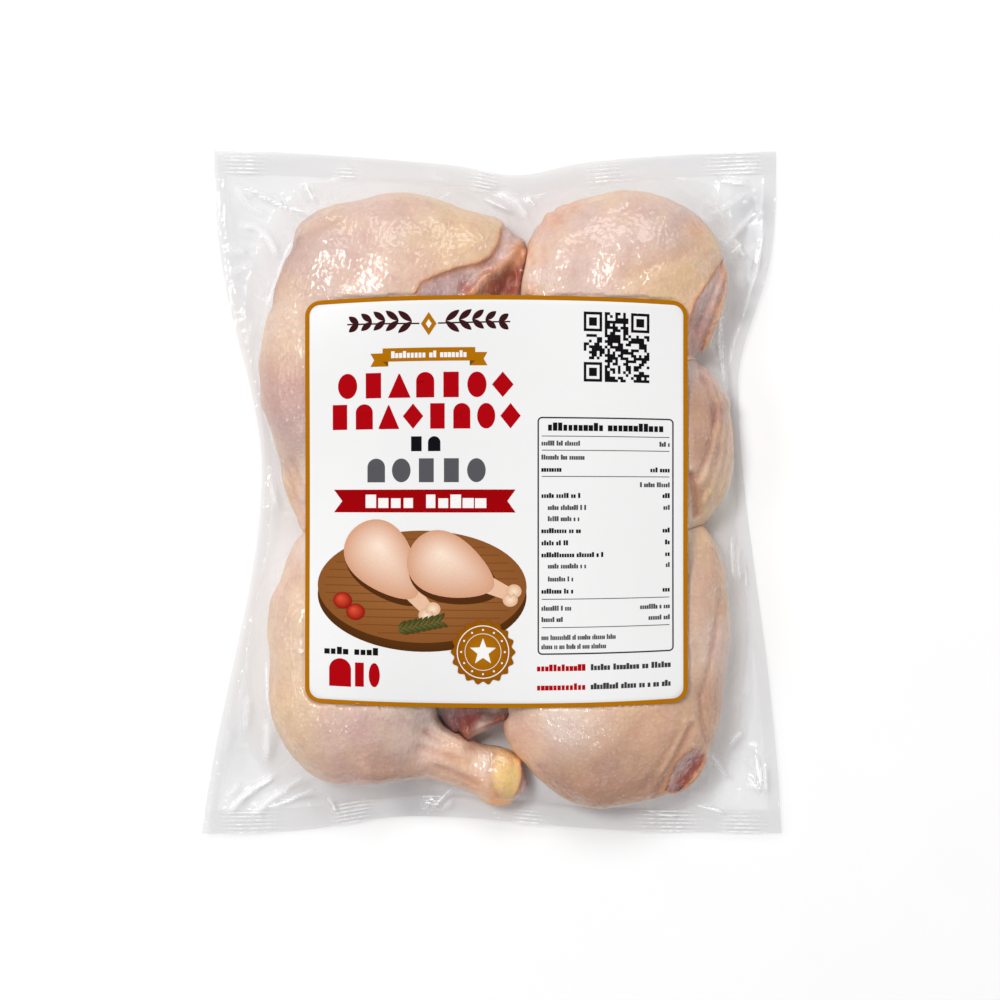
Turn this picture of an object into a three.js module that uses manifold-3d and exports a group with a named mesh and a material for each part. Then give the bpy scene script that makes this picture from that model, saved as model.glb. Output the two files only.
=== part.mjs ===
// A clear sealed pouch of raw chicken leg quarters with a printed label, lying face up.
// Millimetres, +Z up: X runs across the pouch, Y towards its top seal, and Z = 0 is the table.

import * as THREE from "three";
import { mergeVertices } from "three/addons/utils/BufferGeometryUtils.js";
import Module from "manifold-3d";

// The pouch: corner places, seal bands and film
const HALF_WIDTH = 160.5;
const HALF_LENGTH = 189;
const TOP_LEFT_X = -154;
const TOP_RIGHT_X = 157.5;
const END_SEAL = 13;
const SIDE_SEAL = 7;
const SEAL_THICKNESS = 1;
const HALF_SEAL = SEAL_THICKNESS / 2;
const SEAL_HEIGHT = 4.6;

// Where the filling draws each edge in. "before" and "after" are how far the draw spreads
// towards lower and higher coordinates.
const LEFT_DRAW = [{ middle: 10, depth: 29.5, before: 95, after: 65 }];
const RIGHT_DRAW = [{ middle: 60, depth: 22, before: 105, after: 38 }];
const TOP_DRAW = [
  { middle: 5, depth: 8, before: 60, after: 60 },
  { middle: 13, depth: 5.5, before: 18, after: 18 },
];
const BOTTOM_DRAW = [{ middle: -42, depth: 9.5, before: 35, after: 62 }];

// The label: a rounded rectangle stuck on the upper film, whose two ends bow outwards a little
const LABEL = { x: 2.5, y: -5.3, width: 207, length: 220, corner: 8, bow: 1.8 };
const LABEL_OUTLINE_POINTS = 96;
const LABEL_GAP = 0.3;
const LABEL_THICKNESS = 0.4;
const LABEL_STIFFNESS = 30; // how far it smooths out what lies under it
const LABEL_BRIDGE = 37; // how low it hangs where nothing lies under it
const LABEL_BLEND = 15; // how far from its edge it still draws the film up

// How strongly each film is drawn down between what holds it up, as a curvature per mm
const UPPER_PULL = 0.11;
const LOWER_PULL = 0.02;

// The grid of the pouch's two faces, and how the films settle on it
const CELLS_ACROSS = 40;
const CELLS_ALONG = 47;
const CELL = (2 * HALF_WIDTH) / CELLS_ACROSS;
const SWEEPS = 500;
const OVER_RELAX = 1.7;
const ROUNDING_PASSES = 2;

// Share of a piece's height where it is widest, and how far below that it would reach if the
// table didn't flatten it
const WIDEST_SHARE = 0.42;
const UNDER_SHARE = 1.6;
const TABLE_SINK = 1; // the lower film's height below the table before the table flattens it

// The leg quarters. A lobe of muscle is an egg with a crown height. A shank is a chain of round
// sections from the calf to the hock.
const QUARTERS = {
  topLeft: {
    lobes: [
      { x: -52, y: 100, across: 70, along: 64, turn: 0, crown: 47 },
      { x: -88, y: 68, across: 40, along: 48, turn: 0, crown: 43 },
      { x: -9, y: 125, across: 30, along: 28, turn: 0, crown: 37 },
      { x: -85, y: 133, across: 24, along: 24.5, turn: 0, crown: 36 },
      { x: -50, y: 45, across: 36, along: 40, turn: 0, crown: 42 },
    ],
    shank: [
      { x: -92, y: 45, radius: 33, crown: 41 },
      { x: -94.5, y: 5, radius: 19.5, crown: 31 },
      { x: -94, y: -13, radius: 14, crown: 27 },
    ],
  },
  topRight: {
    lobes: [
      { x: 74, y: 112, across: 56, along: 54, turn: 0, crown: 46 },
      { x: 45, y: 117, across: 27, along: 42, turn: 3, crown: 39 },
      { x: 30, y: 106, across: 18, along: 20, turn: 0, crown: 34 },
    ],
    shank: [
      { x: 48, y: 80, radius: 30, crown: 42 },
      { x: 2, y: 32, radius: 19, crown: 38 },
      { x: -28, y: 2, radius: 14, crown: 34 },
    ],
  },
  middleRight: {
    lobes: [
      { x: 90, y: 26, across: 43, along: 55, turn: 0, crown: 43 },
      { x: -15, y: -114, across: 18, along: 24, turn: 12, crown: 30 },
      { x: 3, y: -106, across: 18, along: 18, turn: 0, crown: 30 },
    ],
    shank: [
      { x: 56, y: -2, radius: 34, crown: 43 },
      { x: 12, y: -58, radius: 20, crown: 38 },
      { x: -8, y: -104, radius: 18, crown: 30 },
    ],
  },
  bottomLeft: {
    lobes: [
      { x: -77, y: -108, across: 45, along: 53, turn: 0, crown: 48 },
      { x: -72, y: -74, across: 51, along: 50, turn: 0, crown: 47 },
      { x: -36, y: -62, across: 34, along: 36, turn: 0, crown: 41 },
      { x: -86, y: -42, across: 27, along: 28, turn: 0, crown: 38 },
      { x: 4.5, y: -157.5, across: 14.5, along: 16, turn: 25, crown: 28 },
    ],
    shank: [
      { x: -64, y: -132, radius: 26, crown: 39 },
      { x: -30, y: -144, radius: 12.5, crown: 27 },
      { x: 2, y: -156, radius: 13.5, crown: 26 },
    ],
  },
  bottomRight: {
    lobes: [
      { x: 66, y: -112, across: 60, along: 62, turn: 0, crown: 47 },
      { x: 108, y: -72, across: 23, along: 58, turn: 0, crown: 38 },
      { x: 98, y: -146, across: 19, along: 20, turn: 0, crown: 30 },
    ],
    shank: [
      { x: 62, y: -62, radius: 34, crown: 44 },
      { x: 52, y: -24, radius: 17, crown: 38 },
    ],
  },
};

const clamp = THREE.MathUtils.clamp;
const mix = THREE.MathUtils.lerp;
const smooth = THREE.MathUtils.smoothstep;

// How far an edge is drawn in at a place along it. The draw fades to nothing at the corners.
function drawn(draws, at, half) {
  let depth = 0;
  for (const draw of draws) {
    const spread = at < draw.middle ? draw.before : draw.after;
    depth += draw.depth * Math.exp(-0.5 * ((at - draw.middle) / spread) ** 2);
  }
  return depth * (1 - (at / half) ** 6);
}

// The place on the table of the film's point at (u, v), each from 0 to 1
function place(u, v) {
  const x = mix(-HALF_WIDTH, HALF_WIDTH, u);
  const y = mix(-HALF_LENGTH, HALF_LENGTH, v);
  const left = mix(-HALF_WIDTH, TOP_LEFT_X, v) + drawn(LEFT_DRAW, y, HALF_LENGTH);
  const right = mix(HALF_WIDTH, TOP_RIGHT_X, v) - drawn(RIGHT_DRAW, y, HALF_LENGTH);
  const bottom = -HALF_LENGTH + drawn(BOTTOM_DRAW, x, HALF_WIDTH);
  const top = HALF_LENGTH - drawn(TOP_DRAW, x, HALF_WIDTH);
  return { x: mix(left, right, u), y: mix(bottom, top, v) };
}

// The height of the flat seal, which waves a little along the edges
function sealHeight(x, y) {
  return SEAL_HEIGHT + 1.6 * Math.sin(x / 31 + 0.7) + 1.1 * Math.sin(y / 38 - 0.5);
}

// Upper and lower height of a piece with that crown, where share is 0 at its middle and 1 at its rim
function heights(crown, share) {
  const widest = WIDEST_SHARE * crown;
  const rise = Math.sqrt(1 - share * share);
  return {
    over: widest + (crown - widest) * rise,
    under: widest - UNDER_SHARE * widest * rise,
  };
}

function lobeAt(lobe, x, y) {
  const turn = THREE.MathUtils.degToRad(lobe.turn);
  const dx = x - lobe.x;
  const dy = y - lobe.y;
  const across = (dx * Math.cos(turn) + dy * Math.sin(turn)) / lobe.across;
  const along = (dy * Math.cos(turn) - dx * Math.sin(turn)) / lobe.along;
  const share = Math.hypot(across, along);
  return share < 1 ? heights(lobe.crown, share) : null;
}

function linkAt(from, to, x, y) {
  const dx = to.x - from.x;
  const dy = to.y - from.y;
  const t = clamp(((x - from.x) * dx + (y - from.y) * dy) / (dx * dx + dy * dy), 0, 1);
  const away = Math.hypot(x - from.x - t * dx, y - from.y - t * dy);
  const share = away / mix(from.radius, to.radius, t);
  return share < 1 ? heights(mix(from.crown, to.crown, t), share) : null;
}

// The heights between which the quarters fill the pouch at a place
function filling(x, y) {
  const found = [];
  for (const { lobes, shank } of Object.values(QUARTERS)) {
    lobes.forEach((lobe) => found.push(lobeAt(lobe, x, y)));
    shank.slice(1).forEach((to, i) => found.push(linkAt(shank[i], to, x, y)));
  }
  const there = found.filter(Boolean);
  return {
    over: Math.max(-Infinity, ...there.map((h) => h.over)),
    under: Math.min(Infinity, ...there.map((h) => h.under)),
  };
}

// How far a place lies outside the label's edge, negative inside it
function outsideLabel(x, y) {
  const dx = Math.abs(x - LABEL.x) - LABEL.width / 2 + LABEL.corner;
  const dy = Math.abs(y - LABEL.y) - LABEL.length / 2 + LABEL.corner;
  const corner = Math.hypot(Math.max(dx, 0), Math.max(dy, 0));
  return corner + Math.min(Math.max(dx, dy), 0) - LABEL.corner;
}

// The film's grid: each point's place, its seal height and whether it lies in a seal band
function makeGrid() {
  const points = [];
  for (let j = 0; j <= CELLS_ALONG; j++) {
    for (let i = 0; i <= CELLS_ACROSS; i++) {
      const u = i / CELLS_ACROSS;
      const v = j / CELLS_ALONG;
      const { x, y } = place(u, v);
      const fromSide = Math.min(u, 1 - u) * 2 * HALF_WIDTH;
      const fromEnd = Math.min(v, 1 - v) * 2 * HALF_LENGTH;
      const sealed = fromSide <= SIDE_SEAL || fromEnd <= END_SEAL;
      points.push({ x, y, sealed, seal: sealHeight(x, y), ...filling(x, y) });
    }
  }
  return points;
}

// The middle value of the four neighbours of point n
function around(z, n) {
  const row = CELLS_ACROSS + 1;
  return (z[n - 1] + z[n + 1] + z[n - row] + z[n + row]) / 4;
}

// Lets a sheet settle: each free point goes where step says, from its neighbours' middle value
function settle(points, start, step) {
  const z = points.map(start);
  for (let sweep = 0; sweep < SWEEPS; sweep++) {
    points.forEach((point, n) => {
      if (!point.sealed) z[n] = step(around(z, n), z[n], point, n);
    });
  }
  return z;
}

// Smooths the heights of a sheet, all but its seals
function smoothed(points, heightList, passes) {
  let z = heightList;
  for (let pass = 0; pass < passes; pass++) {
    z = z.map((own, n) => (points[n].sealed ? own : mix(own, around(z, n), 0.5)));
  }
  return z;
}

// How far a curvature draws a point of the grid below its neighbours' middle value
function sag(curvature) {
  return (curvature * CELL * CELL) / 4;
}

// The lower film hangs from the seals and is held down on the table by the quarters
function lowerFilm(points) {
  return settle(points, (p) => p.seal - HALF_SEAL, (middle, z, p) => {
    const free = mix(z, middle - sag(LOWER_PULL), OVER_RELAX);
    return clamp(free, -TABLE_SINK, Math.min(p.under, p.seal));
  });
}

// The upper film is drawn down over the quarters, and lies on the lower film outside them
function upperFilm(points, lower) {
  const tight = settle(points, (p) => p.seal + HALF_SEAL, (middle, z, p, n) => {
    const free = mix(z, middle - sag(UPPER_PULL), OVER_RELAX);
    return Math.max(free, p.over, lower[n] + SEAL_THICKNESS);
  });
  const rounded = smoothed(points, tight, ROUNDING_PASSES);
  return rounded.map((z, n) => Math.max(z, lower[n] + SEAL_THICKNESS));
}

// Under the label the upper film is smoothed, because the label is stiffer than the film
function pressedByLabel(points, upper) {
  const passes = Math.round((4 * LABEL_STIFFNESS ** 2) / CELL ** 2);
  const bridged = upper.map((z) => Math.max(z, LABEL_BRIDGE));
  const flattened = smoothed(points, bridged, passes);
  return upper.map((z, n) => {
    const outside = outsideLabel(points[n].x, points[n].y);
    return mix(flattened[n], z, smooth(outside, 0, LABEL_BLEND));
  });
}

// A closed sheet between two height lists, over the grid cells from (i0, j0) to (i1, j1)
function sheetBetween(points, low, high, i0, i1, j0, j1) {
  const row = i1 - i0 + 1;
  const count = row * (j1 - j0 + 1);
  const positions = [];
  for (const heightList of [high, low]) {
    for (let j = j0; j <= j1; j++) {
      for (let i = i0; i <= i1; i++) {
        const n = j * (CELLS_ACROSS + 1) + i;
        positions.push(points[n].x, points[n].y, heightList[n]);
      }
    }
  }
  const faces = [];
  for (let j = 0; j < j1 - j0; j++) {
    for (let i = 0; i < i1 - i0; i++) {
      const a = j * row + i;
      const [b, c, d] = [a + 1, a + row + 1, a + row];
      faces.push(a, b, c, a, c, d);
      faces.push(count + a, count + c, count + b, count + a, count + d, count + c);
    }
  }
  const wall = (a, b) => faces.push(a, count + a, count + b, a, count + b, b);
  for (let i = 0; i < i1 - i0; i++) {
    wall(i, i + 1);
    wall(count - 1 - i, count - 2 - i);
  }
  for (let j = 0; j < j1 - j0; j++) {
    wall((j + 1) * row, j * row);
    wall((j + 1) * row - 1, (j + 2) * row - 1);
  }
  const geometry = new THREE.BufferGeometry();
  geometry.setAttribute("position", new THREE.Float32BufferAttribute(positions, 3));
  geometry.setIndex(faces);
  return geometry;
}

function solid(wasm, geometry) {
  const bare = geometry.clone();
  bare.deleteAttribute("normal");
  bare.deleteAttribute("uv");
  const merged = mergeVertices(bare, 1e-4);
  return new wasm.Manifold(
    new wasm.Mesh({
      numProp: 3,
      vertProperties: merged.attributes.position.array,
      triVerts: new Uint32Array(merged.index.array),
    }),
  );
}

function geometryOf(made) {
  const { vertProperties, triVerts } = made.getMesh();
  const geometry = new THREE.BufferGeometry();
  geometry.setAttribute("position", new THREE.Float32BufferAttribute(vertProperties, 3));
  geometry.setIndex(new THREE.Uint32BufferAttribute(triVerts, 1));
  geometry.computeVertexNormals();
  return geometry;
}

// The label's outline as a tall prism, to cut the label out of a sheet
function labelPrism(height) {
  const { width, length, corner } = LABEL;
  const [w, l] = [width / 2, length / 2];
  const outline = new THREE.Shape();
  outline.moveTo(w, corner - l);
  outline.absarc(w - corner, l - corner, corner, 0, Math.PI / 2);
  outline.absarc(corner - w, l - corner, corner, Math.PI / 2, Math.PI);
  outline.absarc(corner - w, corner - l, corner, Math.PI, 1.5 * Math.PI);
  outline.absarc(w - corner, corner - l, corner, 1.5 * Math.PI, 2 * Math.PI);
  const bowed = outline.getSpacedPoints(LABEL_OUTLINE_POINTS).map(({ x, y }) => {
    const lift = LABEL.bow * (1 - 2 * (x / w) ** 2) * (y / l);
    return new THREE.Vector2(x, y + lift);
  });
  const options = { depth: height, bevelEnabled: false };
  const prism = new THREE.ExtrudeGeometry(new THREE.Shape(bowed), options);
  return prism.translate(LABEL.x, LABEL.y, 0);
}

// The pouch lies flat on the table wherever the lower film would hang below it
function makeBag(wasm, points, lower, upper) {
  const sheet = solid(wasm, sheetBetween(points, lower, upper, 0, CELLS_ACROSS, 0, CELLS_ALONG));
  const above = new THREE.BoxGeometry(3 * HALF_WIDTH, 3 * HALF_LENGTH, HALF_WIDTH);
  return geometryOf(sheet.intersect(solid(wasm, above.translate(0, 0, HALF_WIDTH / 2))));
}

function makeLabel(wasm, points, film) {
  const low = film.map((z) => z + LABEL_GAP);
  const high = low.map((z) => z + LABEL_THICKNESS);
  const margin = 3;
  const inner = [margin, CELLS_ACROSS - margin, margin, CELLS_ALONG - margin];
  const sheet = solid(wasm, sheetBetween(points, low, high, ...inner));
  return geometryOf(sheet.intersect(solid(wasm, labelPrism(2 * Math.max(...high)))));
}

const wasm = await Module();
wasm.setup();

const points = makeGrid();
const lower = lowerFilm(points);
const upper = pressedByLabel(points, upperFilm(points, lower));

const filmMaterial = new THREE.MeshStandardMaterial({
  color: 0xe4c3b0,
  roughness: 0.15,
  metalness: 0,
});
const labelMaterial = new THREE.MeshStandardMaterial({
  color: 0xf2f1ef,
  roughness: 0.35,
  metalness: 0,
});

const bag = new THREE.Mesh(makeBag(wasm, points, lower, upper), filmMaterial);
bag.name = "bag";
const label = new THREE.Mesh(makeLabel(wasm, points, upper), labelMaterial);
label.name = "label";

const pack = new THREE.Group();
pack.add(bag, label);

export default pack;
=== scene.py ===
# A clear sealed pouch of raw chicken leg quarters with a printed label, lying face up.
# Lengths are in millimetres until a mesh is made, and in metres for the floor, lights and
# camera. X runs across the pouch, Y towards its top seal, and Z = 0 is the table.

import functools
import itertools
import math

import bpy
import numpy as np
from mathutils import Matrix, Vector


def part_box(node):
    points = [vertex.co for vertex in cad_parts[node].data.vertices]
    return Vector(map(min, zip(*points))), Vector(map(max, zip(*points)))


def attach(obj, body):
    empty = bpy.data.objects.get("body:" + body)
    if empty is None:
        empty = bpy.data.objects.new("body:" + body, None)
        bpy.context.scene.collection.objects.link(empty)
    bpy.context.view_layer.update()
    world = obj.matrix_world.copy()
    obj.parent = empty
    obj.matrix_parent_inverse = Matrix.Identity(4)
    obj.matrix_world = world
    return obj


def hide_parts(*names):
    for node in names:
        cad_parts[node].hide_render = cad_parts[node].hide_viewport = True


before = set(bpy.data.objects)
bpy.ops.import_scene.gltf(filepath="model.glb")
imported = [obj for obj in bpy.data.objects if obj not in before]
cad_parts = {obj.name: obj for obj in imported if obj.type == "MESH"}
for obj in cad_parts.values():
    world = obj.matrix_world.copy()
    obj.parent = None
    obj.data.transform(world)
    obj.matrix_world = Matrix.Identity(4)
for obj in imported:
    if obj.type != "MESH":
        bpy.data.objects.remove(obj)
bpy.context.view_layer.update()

MM = 0.001
BODY = "root"
BAG_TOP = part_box("bag")[1].z / MM

# The pouch, as in the part's source. A draw is (middle, depth, reach before it, reach after it).
HALF_WIDTH = 160.5
HALF_LENGTH = 189
TOP_LEFT_X = -154
TOP_RIGHT_X = 157.5
END_SEAL = 13
SIDE_SEAL = 7
SEAL_HEIGHT = 4.6
LEFT_DRAW = [(10, 29.5, 95, 65)]
RIGHT_DRAW = [(60, 22, 105, 38)]
TOP_DRAW = [(5, 8, 60, 60), (13, 5.5, 18, 18)]
BOTTOM_DRAW = [(-42, 9.5, 35, 62)]
UPPER_PULL = 0.11
LOWER_PULL = 0.02

# The label, as in the part's source
LABEL_X = 2.5
LABEL_Y = -5.3
LABEL_WIDTH = 207
LABEL_LENGTH = 220
LABEL_CORNER = 8
LABEL_BOW = 1.8
LABEL_GAP = 0.3
LABEL_THICKNESS = 0.4

# The film's two sheets
FRONT_CELL = 1.25
BACK_CELL = 2.5
SHEET_GAP = 0.3
BACK_LOWEST = 0.05
RIB_PITCH = 2.2
FILM_CLEARANCE = 0.7

# The quarters, as in the part's source. A lobe is (x, y, across, along, turn, crown) and a
# shank's section is (x, y, radius, crown).
WIDEST_SHARE = 0.42
UNDER_SHARE = 1.6
TALLEST_CROWN = 48
CROWN_SHARE = (BAG_TOP - FILM_CLEARANCE - SHEET_GAP) / TALLEST_CROWN
QUARTERS = {
    "top_left": {
        "lobes": [
            (-52, 100, 70, 64, 0, 47), (-88, 68, 40, 48, 0, 43), (-9, 125, 30, 28, 0, 37),
            (-85, 133, 24, 24.5, 0, 36), (-50, 45, 36, 40, 0, 42),
        ],
        "shank": [(-92, 45, 33, 41), (-94.5, 5, 19.5, 31), (-94, -13, 14, 27)],
    },
    "top_right": {
        "lobes": [
            (74, 112, 56, 54, 0, 46), (45, 117, 27, 42, 3, 39), (30, 106, 18, 20, 0, 34),
        ],
        "shank": [(48, 80, 30, 42), (2, 32, 19, 38), (-28, 2, 14, 34)],
    },
    "middle_right": {
        "lobes": [
            (90, 26, 43, 55, 0, 43), (-15, -114, 18, 24, 12, 30), (3, -106, 18, 18, 0, 30),
        ],
        "shank": [(56, -2, 34, 43), (12, -58, 20, 38), (-8, -104, 18, 30)],
    },
    "bottom_left": {
        "lobes": [
            (-77, -108, 45, 53, 0, 48), (-72, -74, 51, 50, 0, 47), (-36, -62, 34, 36, 0, 41),
            (-86, -42, 27, 28, 0, 38), (4.5, -157.5, 14.5, 16, 25, 28),
        ],
        "shank": [(-64, -132, 26, 39), (-30, -144, 12.5, 27), (2, -156, 13.5, 26)],
    },
    "bottom_right": {
        "lobes": [
            (66, -112, 60, 62, 0, 47), (108, -72, 23, 58, 0, 38), (98, -146, 19, 20, 0, 30),
        ],
        "shank": [(62, -62, 34, 44), (52, -24, 17, 38)],
    },
}

# The grid on which the quarters are worked out
VOXEL = 1.15
GRID_LOW = (-134, -180, -1)
GRID_HIGH = (138, 172, 50)

# How the quarters join, press on each other and rest
LOBE_BLEND = 7
CEILING_BLEND = 2.5
QUARTER_GAP = 0.3
TABLE_GAP = 0.9
SKIN = 1.8
SKIN_STARTS = 3.5

# Where a quarter has no skin: outlines on the table's plane
BARE = {
    "top_left": [
        (8.5, 154), (4.8, 142.4), (3.6, 135.2), (-0.8, 127.6), (-8, 123.8), (-18.8, 121.4),
        (-29.6, 117.2), (-38, 113), (-41, 108), (-41, 88), (28, 88), (28, 154),
    ],
    "top_right": [
        (126, 127), (119, 116), (110.5, 104), (106.5, 90), (106, 74), (113.9, 74), (121, 92),
        (127.5, 110),
    ],
    "middle_right": [(-34, -98), (16, -98), (12, -132), (-1.1, -142), (-21, -142), (-34, -126)],
    "bottom_left": [
        (11.5, -168.7), (14.8, -163.2), (16.6, -155), (15.9, -148.4), (22, -146.8), (22, -174),
        (12.6, -174),
    ],
    "bottom_right": [
        (94.6, -163), (97, -155), (100, -148), (105, -142.8), (110.5, -139.8), (115.3, -141),
        (116.6, -144.5), (115.2, -149), (111.8, -154.5), (107.8, -160), (103.5, -163.8), (98.9, -165.2),
    ],
}

# Grooves and ridges: a line, its half width and its depth, which is negative on a ridge
FOLDS = {
    "top_left": [
        ([(-108, 134), (-117, 118), (-121, 104)], 5, 1.8), ([(-58, 137), (-58, 125)], 16, -2),
        ([(16, 136), (10, 128), (4.6, 121), (-4.4, 115), (-11, 107)], 3.2, -3.2),
        ([(7, 142), (5, 135), (1, 127.6), (-7, 122), (-18, 119.4), (-30, 115)], 1.6, 2),
        ([(-3, 122), (-10, 117), (-16, 110)], 2.2, 2.6), ([(9, 117), (6, 109), (3, 98)], 5, 5),
        ([(18, 130), (15, 118), (13, 106)], 4, -4.5), ([(14, 147), (18, 138)], 2, -1.4),
        ([(-114, 14), (-107, -4), (-100, -18)], 1.8, 1.6),
        ([(-109, 16), (-102, 0), (-97, -16)], 1.8, 1.3), ([(-104, -6), (-99, -9)], 1.4, 1.2),
        ([(-102, 152), (-90, 158)], 3, 1.2), ([(-112, 131), (-98, 141), (-84, 147)], 2.6, 0.8),
    ],
    "top_right": [
        ([(20, 130), (15, 108)], 4.5, -3), ([(37, 130), (36, 100)], 13, -3.4),
        ([(26, 150), (29, 143), (34, 138)], 1.5, 1), ([(33, 156), (36, 149), (42, 143)], 1.5, 1.1),
        ([(41, 160), (45, 154), (52, 150)], 1.5, 0.8), ([(30, 153), (33, 146)], 1.6, -0.8),
        ([(28, 138), (26, 126), (22, 112)], 1.7, 1), ([(20, 132), (22, 120), (19, 106)], 1.6, 0.9),
        ([(24.5, 124), (20, 108)], 2, -2.2), ([(112, 133), (101, 127), (86.5, 121), (74, 119)], 5, 0.9),
        ([(118, 134), (103, 123), (90, 117)], 5, -0.8), ([(124, 116), (118, 103), (111, 86)], 1.6, 1.2),
        ([(126.5, 120), (122, 104), (115, 86)], 1.4, -1.3),
        ([(116, 112), (109, 98), (106, 84)], 1.8, -1.3),
    ],
    "middle_right": [
        ([(-4, -126), (10, -124)], 5, -6),
        ([(116, 62), (121, 50), (121.5, 38), (117, 20), (112, 8)], 1.9, 1.4),
        ([(122, 46), (121.5, 36)], 2.4, 1.2), ([(123, 56), (127, 42), (124, 22), (118, 2)], 1.6, 1),
        ([(119, 58), (124.4, 46), (121.5, 26), (115, 6)], 2, -0.7),
        ([(129.5, 44), (128.5, 20), (121, -8)], 1.5, 0.9), ([(127, 30), (121, 8), (116, -6)], 2, -0.5),
        ([(112.3, 77.8), (115.5, 61.3)], 1.8, 1.2), ([(107.9, 9), (110.5, -3), (110.5, -13)], 1.6, 3),
        ([(114, 0), (113, -12)], 1.6, 1.4), ([(-14, -132), (-8, -129), (6, -123)], 2.2, -2.8),
        ([(-18, -112), (-15, -124), (-13, -136)], 2, -2),
        ([(-19, -110), (-19.5, -124), (-17, -136)], 1.6, 2.2), ([(-6.6, -112), (0, -122)], 2.6, 2.4),
        ([(-10, -137), (2, -129), (10, -125)], 1.8, 2.4),
    ],
    "bottom_left": [
        ([(-66, -156), (-44, -156)], 6, -2.8), ([(-34, -118), (-28, -130), (-16, -138)], 4.5, -3.6),
        ([(-36, -131), (-22, -137.5), (-10, -140.5)], 1.6, 1.2),
        ([(-30, -150), (-18, -155), (-8, -160)], 1.6, 1),
        ([(-40, -139), (-26, -143), (-12, -148)], 1.6, 1.3), ([(-24, -141), (-14, -146)], 1.5, -0.7),
        ([(-34, -146), (-20, -150)], 1.5, -0.6), ([(-112, -24), (-103, -22), (-94, -26)], 1.8, 0.9),
        ([(13, -170), (16.6, -162), (18.6, -155), (17.6, -147)], 1.6, 1.5),
        ([(1.6, -142.9), (-0.8, -152.8), (0.2, -162), (3.8, -167.6)], 1.5, 1.2),
        ([(-48, -124), (-38, -132), (-24, -137)], 3, 0.8),
        ([(17, -148), (18.6, -156), (16.6, -166)], 3.2, -2.4),
    ],
    "bottom_right": [
        ([(12, -150), (8, -138), (8, -126)], 4, -2.6),
        ([(124.5, -60), (121.6, -76), (119, -92), (114, -110)], 1.6, 1.3),
        ([(113.2, -112), (114.6, -126), (117.6, -138)], 1.6, 1.5),
        ([(108, -128), (103, -138), (96, -152), (90, -163)], 2, 1.6),
        ([(103, -128), (92, -148), (82, -161)], 2.4, 0.9),
        ([(106, -124), (99.5, -139), (93, -152)], 1.9, -0.9),
        ([(96, -167), (84, -171), (66, -174)], 1.8, 1.2), ([(26, -150), (38, -162), (50, -169)], 2, 0.9),
    ],
}

# A flat cut through a quarter: a place on its surface, the way the cut faces and its depth
CUTS = {"bottom_right": ((105.8, -151.5, 27.5), (0.44, -0.42, 0.79), 0.6)}

# Colours of skin, fat and meat as they look in daylight, each channel from 0 to 255
PALETTE = {
    "cream": (241, 210, 180), "butter": (242, 205, 156), "yolk": (255, 214, 132),
    "peach": (246, 198, 166), "tan": (224, 177, 142), "russet": (184, 132, 104), "pink": (236, 207, 197),
    "rose": (226, 177, 163), "lilac": (208, 180, 177), "pale": (247, 230, 221), "orange": (244, 164, 100),
    "rust": (174, 80, 44), "blood": (150, 36, 22), "red": (186, 62, 50), "meat": (184, 118, 108),
    "purple": (156, 108, 110), "bone": (230, 200, 180), "cartilage": (214, 190, 196),
}

# Painted shade on the skin: a colour that darkens its grooves, and factors that make its steep sides
# darker and warmer. The skin's colour is multiplied by both.
GROOVE_SHADE = (205, 140, 120)
SIDE_SHADE_FACTORS = (1, 0.86, 0.62)
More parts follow.
